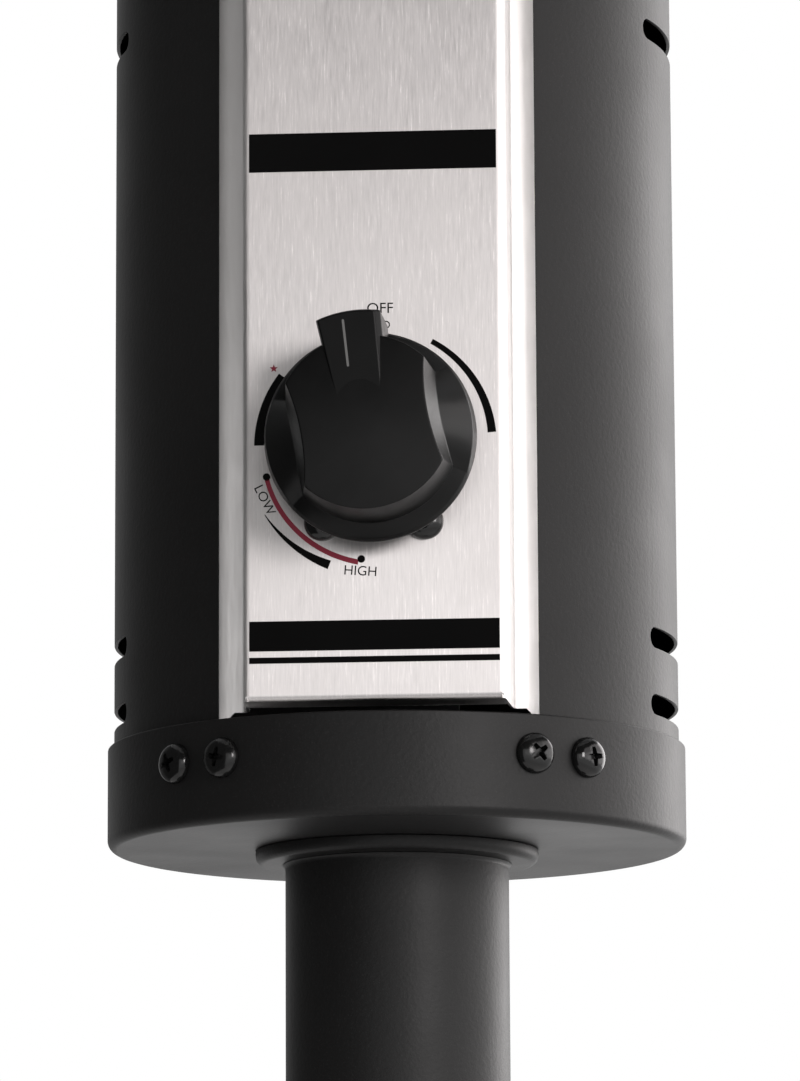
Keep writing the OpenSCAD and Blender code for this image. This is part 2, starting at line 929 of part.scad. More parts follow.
// Pale index line let into the pointer.
module index_shape(grow) {
    translate([-index_w / 2 - grow, index_start - grow, pointer_top - index_h - grow])
        cube([index_w + 2 * grow, index_l + 2 * grow, index_h + grow + (grow > 0 ? 1 : 0)]);
}

module knob_index() {
    color("#d8d8d8")
        at_knob()
            rotate([0, 0, knob_turn])
                index_shape(0);
}

module valve_stem() {
    tip = knob_gap + stem_in_knob - 0.5;
    shoulder = -panel_y - stem_shoulder_y;
    color("#b8b8bc")
        at_knob()
            rotate([0, 0, knob_turn]) {
                linear_extrude(tip)
                    stem_section(0);
                translate([0, 0, shoulder])
                    cylinder(d = stem_d, h = -shoulder + eps);
                translate([0, 0, shoulder - stem_tail_l])
                    cylinder(d = stem_tail_d, h = stem_tail_l + eps);
            }
}

// Plunger behind the stem: it is pushed in with the stem but doesn't turn.
module valve_plunger() {
    start = -panel_y - stem_shoulder_y - plunger_gap;
    color("#c9a24a")
        at_knob()
            difference() {
                translate([0, 0, start - plunger_l])
                    cylinder(d = plunger_d, h = plunger_l);
                translate([0, 0, start - stem_tail_l - plunger_gap])
                    cylinder(d = stem_tail_d + 2 * run_gap, h = stem_tail_l + 2);
            }
}

module valve_body() {
    color("#a9abad")
        at_head()
            difference() {
                translate([-valve_w / 2, valve_front, knob_z - valve_low])
                    cube([valve_w, valve_l, valve_low + valve_high]);
                forward(0, valve_front + stem_guide + 1, knob_z)
                    cylinder(d = stem_d + 2 * run_gap, h = stem_guide + 2);
                forward(0, valve_front + cavity_l, knob_z)
                    cylinder(d = plunger_d + 2 * run_gap, h = cavity_l - stem_guide);
                for (side = [-1, 1])
                    forward(side * valve_screw_x, valve_front + valve_screw_l, knob_z + valve_screw_z)
                        cylinder(d = m5 + 2 * fit_gap, h = valve_screw_l + 1, $fn = 24);
                translate([0, port_y, knob_z - valve_low - 1])
                    cylinder(d = port_d + 2 * fit_gap, h = port_l + 1);
                forward(0, valve_back + 1, knob_z)
                    cylinder(d = port_d + 2 * fit_gap, h = port_l + 1);
            }
}

module valve_bracket() {
    path = [[-panel_y + panel_t, knob_z + bracket_up], [-panel_y + panel_t, bracket_shelf_z],
        [bracket_back_y, bracket_shelf_z], [bracket_back_y, cap_t], [bracket_back_y + bracket_foot, cap_t]];
    color("#b8b8bc")
        at_head()
            difference() {
                side_bar(bracket_w)
                    polygon(sheet(path, bracket_t));
                forward(0, valve_front + 1, knob_z)
                    cylinder(d = stem_hole_d, h = bracket_t + 2);
                for (side = [-1, 1])
                    forward(side * valve_screw_x, valve_front + 1, knob_z + valve_screw_z)
                        cylinder(d = m5 + 2 * fit_gap, h = bracket_t + 2, $fn = 24);
            }
}

module valve_screws() {
    color("#1a1a1b")
        at_head()
            for (side = [-1, 1])
                forward(side * valve_screw_x, -panel_y, knob_z + valve_screw_z)
                    pan_screw(m5, valve_screw_l, valve_screw_head_d, valve_screw_head_h);
}

module gas_inlet() {
    color("#c9a24a")
        at_head()
            translate([0, port_y, knob_z - valve_low])
                difference() {
                    union() {
                        translate([0, 0, -8])
                            hex(17, 8);
                        translate([0, 0, -18])
                            cylinder(d = elbow_d, h = 11);
                        cylinder(d = port_d, h = port_l - 1);
                    }
                    translate([0, 0, -20])
                        cylinder(d = 6, h = 40, $fn = 24);
                }
}

module outlet_elbow() {
    color("#c9a24a")
        at_head() {
            forward(0, valve_back, knob_z)
                cylinder(d = port_d, h = port_l - 1);
            forward(0, 0, knob_z)
                cylinder(d = elbow_d, h = -valve_back);
            translate([0, 0, knob_z])
                sphere(d = elbow_d);
            translate([0, 0, knob_z])
                cylinder(d = elbow_d, h = elbow_up);
        }
}

module gas_jet() {
    color("#c9a24a")
        at_head()
            translate([0, 0, knob_z + elbow_up])
                difference() {
                    union() {
                        hex(jet_af, jet_h / 2);
                        translate([0, 0, jet_h / 2])
                            cylinder(d1 = 9, d2 = 5, h = jet_h / 2, $fn = 32);
                    }
                    translate([0, 0, -1])
                        cylinder(d = 1.6, h = jet_h + 2, $fn = 16);
                }
}

// Mixer tube: bell mouth with air holes over the jet, a ring that carries it, a step under the burner.
module mixer_tube() {
    top = burner_z + burner_t;
    color("#b8b8bc")
        at_head()
            difference() {
                rotate_extrude($fn = 64)
                    polygon([[mixer_bell_r - 1, mixer_z], [mixer_bell_r, mixer_z],
                        [mixer_r, mixer_z + mixer_bell_h], [mixer_r, dish_top], [mixer_ring_r, dish_top],
                        [mixer_ring_r, dish_top + mixer_ring_t], [mixer_r, dish_top + mixer_ring_t],
                        [mixer_r, burner_z - burner_neck - 1], [mixer_step_r, burner_z - burner_neck - 1],
                        [mixer_step_r, burner_z - burner_neck], [mixer_r, burner_z - burner_neck],
                        [mixer_r, top], [mixer_in_r, top], [mixer_in_r, mixer_z + mixer_bell_h]]);
                for (a = [0, 90, 180, 270])
                    outward(a, 0, mixer_z + mixer_bell_h + 12)
                        cylinder(d = 9, h = mixer_bell_r + 2, $fn = 24);
            }
}

module pilot_tube() {
    valve_top = knob_z + valve_high;
    color("#a9abad")
        at_head()
            rod([[pipe_x, pipe_y, valve_top], [pipe_x, pipe_y, valve_top + pilot_rise[0]],
                [pilot_x, 0, valve_top + pilot_rise[1]],
                [pilot_x, 0, dish_top + pilot_shelf + pilot_bracket_t]], pilot_tube_d);
}

module thermocouple() {
    valve_top = knob_z + valve_high;
    shelf = dish_top + pilot_shelf + pilot_bracket_t;
    color("#b87a4a")
        at_head() {
            rod([[-pipe_x, pipe_y, valve_top], [-pipe_x, pipe_y, valve_top + couple_rise[0]],
                [pilot_x, pilot_pitch, valve_top + couple_rise[1]],
                [pilot_x, pilot_pitch, shelf + couple_nut_h]], couple_lead_d);
            translate([pilot_x, pilot_pitch, shelf])
                cylinder(d = couple_nut_d, h = couple_nut_h, $fn = 24);
            translate([pilot_x, pilot_pitch, shelf])
                cylinder(d = couple_d, h = couple_tip, $fn = 24);
        }
}

module piezo_igniter() {
    color("#1a1a1b")
        at_head()
            translate([piezo_x, piezo_y, knob_z - valve_low])
                cylinder(d = piezo_d, h = piezo_h, $fn = 32);
}

module ignition_lead() {
    top = knob_z - valve_low + piezo_h;
    color("#c8c8c0")
        at_head()
            rod([[piezo_x, piezo_y, top], [piezo_x, piezo_y, top + lead_rise[0]],
                [-piezo_x, piezo_y, top + lead_rise[1]], [pilot_x, -pilot_pitch, top + lead_rise[2]],
                [pilot_x, -pilot_pitch, dish_top + pilot_shelf - electrode_low]], lead_d);
}

module tilt_switch() {
    color("#1a1a1b")
        at_head()
            translate([-tilt_box[0] / 2, tilt_y - tilt_box[1] / 2, cap_t])
                cube(tilt_box);
}

module burner_dish() {
    path = [[mixer_r + fit_gap, head_h], [dish_floor_r, head_h], [dish_r, head_h + dish_rim]];
    color("#c9c8c4")
        at_head()
            difference() {
                rotate_extrude($fn = round_fn)
                    polygon(sheet(bent(path, 4), dish_t));
                service_holes(head_h - 1, dish_t + 2);
                dish_screw_holes(head_h - 1, dish_t + 2);
            }
}

module dish_screws() {
    color("#b8b8bc")
        at_head()
            for (a = dish_screw_angles)
                rotate([0, 0, a])
                    translate([dish_screw_r, 0, dish_top])
                        hex_bolt(m5, dish_t + cap_t + 4, m5_nut_af, collar_screw_head_h);
}

module burner_head() {
    wall = burner_t;
    crown = burner_h - burner_bevel[1];
    shell = [[mixer_r + fit_gap, -burner_neck], [mixer_step_r, -burner_neck], [mixer_step_r, 0],
        [burner_r, 0], [burner_r, crown], [burner_r - burner_bevel[0], burner_h], [0, burner_h],
        [0, burner_h - wall], [burner_r - burner_bevel[0] - wall / 2, burner_h - wall],
        [burner_r - wall, crown - wall / 2], [burner_r - wall, wall], [mixer_r + fit_gap, wall]];
    color("#c9c8c4")
        at_head()
            difference() {
                translate([0, 0, burner_z])
                    rotate_extrude($fn = 64)
                        polygon(shell);
                for (i = [0 : burner_ports - 1])
                    for (row = [0, 1])
                        outward((i + row / 2) * 360 / burner_ports, burner_r - burner_t - cut_past,
                            burner_z + burner_port_z[row])
                            cylinder(d = burner_port_d, h = burner_t + 2 * cut_past, $fn = 16);
            }
}

module pilot_bracket() {
    top = dish_top + pilot_shelf + pilot_bracket_t;
    path = [[pilot_foot_x, dish_top], [pilot_back_x, dish_top], [pilot_back_x, top], [pilot_foot_x, top]];
    color("#b8b8bc")
        at_head()
            difference() {
                rotate([90, 0, 0])
                    linear_extrude(pilot_bracket_w, center = true)
                        polygon(sheet(path, -pilot_bracket_t));
                service_holes(dish_top - 1, pilot_bracket_t + 2);
                translate([pilot_x, 0, dish_top + pilot_shelf - 1])
                    cylinder(d = pilot_tube_d + 2 * fit_gap, h = pilot_bracket_t + 2, $fn = 24);
                translate([pilot_x, pilot_pitch, dish_top + pilot_shelf - 1])
                    cylinder(d = couple_lead_d + 2 * fit_gap, h = pilot_bracket_t + 2, $fn = 24);
                translate([pilot_x, -pilot_pitch, dish_top + pilot_shelf - 1])
                    cylinder(d = electrode_d + 2 * fit_gap, h = pilot_bracket_t + 2, $fn = 24);
            }
}

module pilot_burner() {
    color("#c9a24a")
        at_head()
            translate([pilot_x, 0, dish_top + pilot_shelf + pilot_bracket_t])
                difference() {
                    cylinder(d = pilot_head_d, h = pilot_head_h, $fn = 32);
                    translate([0, 0, pilot_head_h - 8])
                        cylinder(d = pilot_head_d - 3, h = 9, $fn = 32);
                    translate([-pilot_head_d, -2.5, pilot_head_h - 6])
                        cube([pilot_head_d, 5, 7]);
                }
}

module spark_electrode() {
    color("#ece8dc")
        at_head()
            translate([pilot_x, -pilot_pitch, dish_top + pilot_shelf]) {
                translate([0, 0, -electrode_low])
                    cylinder(d = electrode_d, h = electrode_low + electrode_high, $fn = 24);
                translate([0, 0, pilot_bracket_t])
                    cylinder(d = electrode_d + 3, h = 3, $fn = 24);
                cylinder(d = electrode_pin_d, h = electrode_high + electrode_pin, $fn = 16);
            }
}

// Perforated tube that glows around the burner.
module emitter_screen() {
    span = screen_h - 2 * screen_margin;
    row_h = (span + screen_row_gap) / screen_rows;
    color("#b8b4ac")
        translate([0, 0, head_top + dish_t])
            difference() {
                cylinder(r = screen_r, h = screen_h, $fn = round_fn);
                translate([0, 0, -1])
                    cylinder(r = screen_r - screen_t, h = screen_h + 2, $fn = round_fn);
                for (i = [0 : screen_cols - 1])
                    for (row = [0 : screen_rows - 1])
                        rotate([0, 0, (i + (row % 2) / 2) * 360 / screen_cols])
                            translate([screen_r - 3, -screen_slot_w / 2, screen_margin + row * row_h])
                                cube([6, screen_slot_w, row_h - screen_row_gap]);
            }
}

module emitter_top_plate() {
    path = [[0, top_plate_z], [top_plate_r, top_plate_z], [top_plate_r, top_plate_z - top_plate_skirt]];
    color("#c9c8c4")
        rotate_extrude($fn = round_fn)
            polygon(sheet(bent(path, top_plate_bend), -top_plate_t));
}

module at_studs(z) {
    for (a = stud_angles)
        rotate([0, 0, a])
            translate([stud_r, 0, z])
                children();
}

module reflector_studs() {
    color("#b8b8bc")
        at_studs(top_plate_z) {
            cylinder(d = stud_d, h = stud_l, $fn = 24);
            cylinder(d = stud_d + 6, h = 2, $fn = 24);
        }
}

module stud_nuts() {
    color("#b8b8bc")
        at_studs(crown_z - reflector_t - stud_nut_h)
            hex_nut(stud_d, stud_nut_af, stud_nut_h);
}

// Reflector profile from the crown to the turned-down rim, drawn along its upper face.
rim_z = crown_z - reflector_drop;
reflector_path = [[crown_hole_r, crown_z], [crown_r, crown_z],
    [mid_r, crown_z - mid_drop * (reflector_drop - rim_lip)], [rim_r - rim_flat, rim_z + rim_lip],
    [rim_r, rim_z + rim_lip - rim_fall], [rim_r, rim_z]];

function slope_of(k) =
    let (v = reflector_path[k + 1] - reflector_path[k])
    atan2(-v[1], v[0]);
function slope_z(r, k) = reflector_path[k][1] - (r - reflector_path[k][0]) * tan(slope_of(k));

// Puts +Z along the reflector's outward normal at each bolt beside the seams.
module at_seams() {
    for (i = [0 : 2])
        for (side = [-1, 1])
            for (k = [0, 1])
                rotate([0, 0, i * 120 + side * seam_bolt_a])
                    translate([seam_r[k], 0, slope_z(seam_r[k], k + 1)])
                        rotate([0, slope_of(k + 1), 0])
                            children();
}

module seam_holes() {
    at_seams()
        translate([0, 0, -8])
            cylinder(d = m5 + 2 * fit_gap, h = 16, $fn = 24);
}

// One third of the reflector.
module reflector_panel(i) {
    color("#d4d6d8")
        difference() {
            rotate([0, 0, i * 120 + seam_gap_a])
                rotate_extrude(angle = 120 - 2 * seam_gap_a, $fn = round_fn)
                    polygon(sheet(reflector_path, -reflector_t));
            at_studs(crown_z - 10)
                cylinder(d = stud_d + 2 * fit_gap, h = 20, $fn = 24);
            seam_holes();
        }
}

// Strips under the seams that join the panels.
module reflector_seams() {
    path = [[strip_r[0], slope_z(strip_r[0], 1)], reflector_path[2], [strip_r[1], slope_z(strip_r[1], 2)]];
    color("#d4d6d8")
        difference() {
            for (i = [0 : 2])
                rotate([0, 0, i * 120 - strip_a])
                    rotate_extrude(angle = 2 * strip_a, $fn = round_fn)
                        polygon(sheet(shifted(path, -reflector_t - strip_gap), -reflector_t));
            seam_holes();
        }
}

module reflector_panel_1() {
    reflector_panel(0);
}

module reflector_panel_2() {
    reflector_panel(1);
}

module reflector_panel_3() {
    reflector_panel(2);
}

module reflector_hub() {
    color("#d4d6d8")
        difference() {
            translate([0, 0, crown_z])
                cylinder(r = hub_r, h = hub_t, $fn = round_fn);
            at_studs(crown_z - 1)
                cylinder(d = stud_d + 2 * fit_gap, h = hub_t + 2, $fn = 24);
        }
}

module wing_nuts() {
    wing = [[wing_root, 1], [wing_waist[0], wing_waist[1]], [wing_span / 2, wing_h],
        [wing_span / 2 - wing_tip, wing_h], [wing_root, wing_hub_h - 1]];
    color("#b8b8bc")
        at_studs(crown_z + hub_t)
            difference() {
                union() {
                    cylinder(d1 = wing_hub_d, d2 = wing_hub_d - wing_hub_draft, h = wing_hub_h, $fn = 32);
                    for (turn = [0, 180])
                        rotate([0, 0, turn])
                            side_bar(wing_t)
                                polygon(wing);
                }
                translate([0, 0, -1])
                    cylinder(d = stud_d + 2 * fit_gap, h = wing_h + 2, $fn = 24);
            }
}

module seam_bolts() {
    color("#b8b8bc")
        at_seams()
            pan_screw(m5, 2 * reflector_t + strip_gap + m5_nut_h + 1, valve_screw_head_d, valve_screw_head_h);
}

module seam_nuts() {
    color("#b8b8bc")
        at_seams()
            translate([0, 0, -2 * reflector_t - strip_gap - seam_nut_gap - m5_nut_h])
                hex_nut(m5, m5_nut_af, m5_nut_h);
}

base_pan();
leg_back();
leg_left();
leg_right();
leg_foot_bolts();
leg_foot_nuts();
leg_post_bolts();
leg_post_nuts();
wheel_bracket();
wheel_axle();
wheel_left();
wheel_right();
axle_caps();
bottle_housing();
housing_lid();
lid_rivets();
lid_grommet();
post();
post_collar();
collar_screws();
head_base_cap();
cap_screws();
head_shell();
control_panel();
head_top_cap();
top_cap_screws();
control_knob();
knob_index();
valve_stem();
valve_plunger();
valve_body();
valve_bracket();
valve_screws();
gas_inlet();
outlet_elbow();
gas_jet();
mixer_tube();
pilot_tube();
thermocouple();
piezo_igniter();
ignition_lead();
tilt_switch();
burner_dish();
dish_screws();
burner_head();
pilot_bracket();
pilot_burner();
spark_electrode();
emitter_screen();
emitter_top_plate();
reflector_studs();
stud_nuts();
reflector_panel_1();
reflector_panel_2();
reflector_panel_3();
reflector_seams();
reflector_hub();
wing_nuts();
seam_bolts();
seam_nuts();
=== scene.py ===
"""Looks of a floor-standing gas patio heater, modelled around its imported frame.

The frame is in metres. Sizes here are in millimetres, and outline() turns them into metres.
Heights in the control head are taken from the head's underside.
"""
import math

import bpy
from mathutils import Matrix, Vector


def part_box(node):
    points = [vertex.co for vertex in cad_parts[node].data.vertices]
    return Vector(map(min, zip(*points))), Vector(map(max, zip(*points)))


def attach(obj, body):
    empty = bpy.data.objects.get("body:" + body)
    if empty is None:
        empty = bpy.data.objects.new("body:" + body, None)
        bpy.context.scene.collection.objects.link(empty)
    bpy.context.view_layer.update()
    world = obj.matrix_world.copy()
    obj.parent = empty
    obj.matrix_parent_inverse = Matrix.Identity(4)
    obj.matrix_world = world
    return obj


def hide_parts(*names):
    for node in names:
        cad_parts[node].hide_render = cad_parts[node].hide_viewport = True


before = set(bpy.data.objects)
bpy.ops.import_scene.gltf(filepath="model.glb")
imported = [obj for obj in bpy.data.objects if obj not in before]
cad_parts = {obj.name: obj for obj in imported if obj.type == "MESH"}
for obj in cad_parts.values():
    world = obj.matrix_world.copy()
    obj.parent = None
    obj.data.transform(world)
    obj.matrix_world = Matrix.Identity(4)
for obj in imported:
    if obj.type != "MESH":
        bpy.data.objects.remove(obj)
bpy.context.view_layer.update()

MM = 0.001
UP = Vector((0, 0, 1))
FULL_TURN = 2 * math.pi


def corner(node, which):
    """Lowest (0) or highest (1) corner of a CAD node, in millimetres."""
    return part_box(node)[which] / MM


# Sizes read from the frame
HEAD_Z = corner("head_base_cap", 0).z
HEAD_H = corner("head_top_cap", 1).z - HEAD_Z
CAP_R = corner("head_base_cap", 1).x
CAP_H = corner("head_base_cap", 1).z - HEAD_Z
SHELL_R = corner("head_shell", 1).x
SHELL_LOW = corner("head_shell", 0).z - HEAD_Z
FACE_Y = -corner("control_panel", 0).y
FLANGE_X = corner("control_panel", 1).x
FLANGE_END = corner("control_panel", 0).z - HEAD_Z
POST_R = corner("post", 1).x
POST_LOW = corner("post", 0).z
POST_TOP = corner("post", 1).z
COLLAR_R = corner("post_collar", 1).x
BASE_R = corner("base_pan", 1).x
BASE_H = corner("base_pan", 1).z
HOUSING_R = corner("bottle_housing", 1).x
HOUSING_TOP = corner("bottle_housing", 1).z
LID_TOP = corner("housing_lid", 1).z
LID_LOW = corner("housing_lid", 0).z
SCREEN_R = corner("emitter_screen", 1).x
SCREEN_LOW = corner("emitter_screen", 0).z
SCREEN_TOP = corner("emitter_screen", 1).z
PLATE_R = corner("emitter_top_plate", 1).x
PLATE_LOW = corner("emitter_top_plate", 0).z
PLATE_TOP = corner("emitter_top_plate", 1).z
DISH_R = corner("burner_dish", 1).x
DISH_LOW = corner("burner_dish", 0).z
DISH_TOP = corner("burner_dish", 1).z
RIM_R = -corner("reflector_panel_2", 0).x
RIM_LOW = corner("reflector_panel_1", 0).z
CROWN_Z = corner("reflector_hub", 0).z
HUB_R = corner("reflector_hub", 1).x
HUB_TOP = corner("reflector_hub", 1).z
WHEEL_MID = (corner("wheel_right", 0) + corner("wheel_right", 1)) / 2
WHEEL_R = (corner("wheel_right", 1).z - corner("wheel_right", 0).z) / 2
WHEEL_HALF_W = (corner("wheel_right", 1).x - corner("wheel_right", 0).x) / 2

# Sizes of the sheet metal
SHELL_T = 1.0
CAP_T = 1.6
CAP_BEND = 2.6
HOSE_HOLE_R = 17.0
MIXER_HOLE_R = 12.1
PANEL_HALF_W = 33.7
FLANGE_Y = 58.0
PANEL_T = 0.8
PANEL_BEND = 1.4
PANEL_END = 30.9
WALL_FOOT_X = 34.8
PANEL_LOW = 29.7
LIP_BEND = 1.6
LIP_DEPTH = 9.8
LIP_GROWTH = 1.0
NOTCH_X = 38.0
NOTCH_R = 1.2
WINDOW_HALF_W = 41.6
WINDOW_END = 26.1
SLOT_H = 5.4
SLOT_ENDS = 66.5
SLOT_HEIGHTS = (34.7, 52.6, HEAD_H - 54.3)

# Screws
CAP_SCREW_ANGLES = (-43.5, -31.3, 31.3, 43.5, 140.0, 220.0)
CAP_SCREW_TURNS = (20, -12, 38, 8, 60, 25)
CAP_SCREW_Z = 16.8
CAP_SCREW_R = 5.3
VALVE_SCREW_X = 13.3
VALVE_SCREW_Z = 76.0
VALVE_SCREW_R = 4.8
SCREW_HEAD_H = 3.4

# Knob and dial
KNOB_Z = 96.4
KNOB_R = 27.4
KNOB_BACK = 9.0
KNOB_FRONT = 33.0
KNOB_TURN = 10.0
KNOB_SKIRT = 10.6
KNOB_SHOULDER = (26.7, 12.0, None, 32.0, 3.4)
KNOB_SEAT = (24.7, 14.0, 22.6, 32.0, 6.6)
KNOB_WAIST = (23.2, 15.0, 19.0, 32.5, 10.0)
KNOB_BROW = (22.5, 31.6, 16.3, 37.0)
DOME_SHARES = (1.0, 0.97, 0.9, 0.75, 0.5, 0.25, 0.06)
BOSS_R = 11.0
BOSS_BORE_R = 4.2
BOSS_BACK = 5.0
POINTER_TOP = 32.9
POINTER_FALL = 0.021
POINTER_LEVELS = ((-8.2, 9.6, 29.5, 21.0), (-7.5, 9.2, 29.1, 1.5), (-7.0, 7.6, 28.6, 0.0))
POINTER_TAIL_Y = 5.0
POINTER_TAIL_IN = (1.3, 1.9)
INDEX_W = 0.6
INDEX_DEPTH = 0.5
INDEX_PROUD = 0.03
INDEX_FROM = (-1.42, 14.4)
INDEX_TO = (-0.6, 26.8)
DIAL_X = 0.5
INK_T = 0.04
LETTER_SIZE = 1.38

# Stand
POST_T = 1.5
HOUSING_T = 1.0
HOUSING_HEM = 6.0
HOUSING_FOLD = ((-7, -1.0), (-6.4, 0.4), (6.4, 0.4), (7, -1.0))
HOUSING_FOLD_T = 0.5
LID_T = 1.0
LID_BEND = 6.0
LID_HOLE_R = 36.0
LID_FLAT_R = 50.0
LID_EDGE_IN = 1.1
LID_EDGE_RISE = 4.0
RIVET = ((0, 0), (4.0, 0), (4.0, 0.4), (3.4, 1.0), (2.2, 1.45), (0, 1.6))
RIVET_COUNT = 8
RIVET_DROP = 9.0
BASE_T = 2.0
BASE_BEND = 8.0
ANCHOR_R = 4.5
ANCHOR_PITCH_R = 219.0
ANCHOR_ANGLES = (45, 135, 225, 315)

# Wheels
WHEEL_FACE = ((4.05, 0), (12.3, 0), (12.8, 0.5), (14.1, 3), (24.3, 3), (25.6, 0.5), (26.1, 0))
TREAD_EDGE = ((3, 0), (1, 0.8), (0, 3))
TREAD_GROOVES = (4.0, 0.0, -4.0)
GROOVE_DEPTH = 1.1
POCKET = ((15.0, -5.0), (23.4, -7.4), (23.4, 7.4), (15.0, 5.0))
POCKET_DEPTH = 4.2
POCKET_COUNT = 6

# Burner and screen
DISH_T = 1.0
DISH_BEND = 4.0
DISH_FLOOR_R = 86.0
SCREEN_T = 0.8
SCREEN_COLUMNS = 30
SCREEN_ROWS = 5
SCREEN_SLOT_HALF_W = 2.5
SCREEN_MARGIN = 26.0
SCREEN_ROW_GAP = 9.0
PLATE_T = 1.2
PLATE_BEND = 2.0

# Reflector
CROWN_R = 96.0
CROWN_HOLE_R = 46.0
MID_R = 250.0
MID_DROP = 0.34
RIM_FLAT = 10.0
RIM_LIP = 14.0
RIM_FALL = 4.0
SHEET_T = 1.0
SHEET_BEND = 3.0
SEAM_GAP = 0.08
SEAM_BOLT_A = 1.8
SEAM_BOLT_R = (170.0, 325.0)
SEAM_HEAD_R = 4.8

# Camera, lamps, floor and cards
CAMERA_AIM = Vector((0.0012, 0, 1.6847))
CAMERA_DISTANCE = 1.5862
CAMERA_AZIMUTH = 4.1
CAMERA_ELEVATION = -9.967
CAMERA_ROLL = -0.283
CAMERA_LENS = 194.84
WARM = (1.0, 0.962, 0.955)
LAMPS = (
    ("key", 33, 7, 2.0, (0.5, 0.5), 16),
    ("broad", 58, 12, 2.2, (1.4, 1.3), 1.4),
    ("right", 92, 12, 2.0, (1.4, 1.5), 1.9),
    ("right_rear", 133, 10, 2.0, (1.4, 1.6), 3.9),
    ("front", 10, 0, 2.2, (1.2, 0.7), 0.6),
    ("rear_low", 184, -14, 2.0, (1.8, 0.7), 0.2),
)
FLOOR_R = 60
FLOOR_FADE = (2.5, 25.0)
SIDE_CARD = (1500, 300, 3600)
HIGH_CARD = (2400, 2270, 4800)

# Tolerances
DOUBLES = 0.002
NEAR = 0.01


# Modelling helpers


def rest():
    """Object mode, with nothing selected."""
    if bpy.context.object and bpy.context.object.mode != "OBJECT":
        bpy.ops.object.mode_set(mode="OBJECT")
    bpy.ops.object.select_all(action="DESELECT")


def pick(obj):
    """Selects one object alone."""
    rest()
    obj.select_set(True)
    bpy.context.view_layer.objects.active = obj
    return obj


def edit(obj):
    """Opens an object for editing, all of it selected."""
    pick(obj)
    bpy.ops.object.mode_set(mode="EDIT")
    bpy.ops.mesh.select_mode(type="VERT")
    bpy.ops.mesh.select_all(action="SELECT")


def close():
    """Back to object mode."""
    bpy.ops.object.mode_set(mode="OBJECT")


def tidy(obj):
    """Merges doubles and turns all faces outwards."""
    edit(obj)
    bpy.ops.mesh.remove_doubles(threshold=DOUBLES * MM)
    bpy.ops.mesh.normals_make_consistent(inside=False)
    close()
    return obj


def outline(name, points, fill=False):
    """Edges through points in millimetres, drawn by extruding one vertex; filled, it becomes a face."""
    rest()
    bpy.ops.mesh.primitive_plane_add(size=MM)
    obj = bpy.context.object
    obj.name = name
    bpy.ops.object.mode_set(mode="EDIT")
    bpy.ops.mesh.merge(type="CENTER")
    path = [Vector(p) * MM for p in points]
    bpy.ops.transform.translate(value=path[0])
    for a, b in zip(path, path[1:]):
        bpy.ops.mesh.extrude_region_move(TRANSFORM_OT_translate={"value": b - a})
    if fill:
        bpy.ops.mesh.select_all(action="SELECT")
        bpy.ops.mesh.edge_face_add()
    close()
    return obj


def ring(name, points):
    """A closed loop of edges through points in millimetres."""
    return tidy(outline(name, list(points) + list(points[:1])))


def select(obj, test):
    """Opens an object with only the vertices that pass a test of x, y, z in millimetres selected."""
    edit(obj)
    bpy.ops.mesh.select_all(action="DESELECT")
    close()
    for vertex in obj.data.vertices:
        vertex.select = test(*(vertex.co / MM))
    pick(obj)
    bpy.ops.object.mode_set(mode="EDIT")


def push(way):
    """Extrudes what is selected by a vector in millimetres."""
    bpy.ops.mesh.extrude_region_move(TRANSFORM_OT_translate={"value": Vector(way) * MM})


def extrude(obj, way):
    """Extrudes the whole outline by a vector in millimetres."""
    edit(obj)
    push(way)
    close()
    return tidy(obj)


def loft(name, loops, open_low=False):
    """Bridges loops of points, each with the same count, and closes the ends."""
    strips = [outline("end", loops[-1], fill=True)]
    if not open_low:
        strips.append(outline("end", loops[0], fill=True))
    for low, high in zip(loops, loops[1:]):
        strip = join("strip", [ring("low", low), ring("high", high)])
        edit(strip)
        bpy.ops.mesh.bridge_edge_loops()
        close()
        strips.append(strip)
    return tidy(join(name, strips))


def lathe(name, profile, steps, start=0.0, turn=360.0):
    """Turns a profile of (radius, height) about the post's axis."""
    a = math.radians(start)
    obj = outline(name, [(r * math.cos(a), r * math.sin(a), z) for r, z in profile])
    edit(obj)
    bpy.ops.mesh.spin(steps=steps, angle=-math.radians(turn), center=(0, 0, 0), axis=(0, 0, 1))
    close()
    return tidy(obj)


def apply_modifier(obj, kind, **settings):
    """Adds a modifier with its settings and applies it."""
    modifier = obj.modifiers.new(kind.lower(), kind)
    for key, value in settings.items():
        setattr(modifier, key, value)
    pick(obj)
    bpy.ops.object.modifier_apply(modifier=modifier.name)
    return obj


def thicken(obj, t, offset=-1.0):
    """Gives a sheet its thickness, inwards unless said otherwise."""
    return apply_modifier(obj, "SOLIDIFY", thickness=t * MM, offset=offset, use_even_offset=True)


def ease(obj, width, segments=2, angle=35.0):
    """Rounds the edges that are sharper than an angle, then smooths the shading."""
    apply_modifier(
        obj, "BEVEL", width=width * MM, segments=segments, limit_method="ANGLE",
        angle_limit=math.radians(angle), harden_normals=False,
    )
    return smooth(obj, angle)


def smooth(obj, angle=35.0):
    """Smooth shading, but for the edges that are sharper than an angle."""
    pick(obj)
    bpy.ops.object.shade_smooth_by_angle(angle=math.radians(angle))
    return apply_modifier(obj, "WEIGHTED_NORMAL", keep_sharp=True)


def cut(obj, tool, operation="DIFFERENCE"):
    """Cuts an object with a tool, or joins them as one solid, and removes the tool."""
    apply_modifier(obj, "BOOLEAN", operation=operation, object=tool, solver="EXACT")
    bpy.data.objects.remove(tool)
    return obj


def place(obj, matrix):
    """Moves an object by a matrix in metres, and keeps the place in its mesh."""
    obj.matrix_world = matrix @ obj.matrix_world
    pick(obj)
    bpy.ops.object.transform_apply(location=True, rotation=True, scale=True)
    return obj


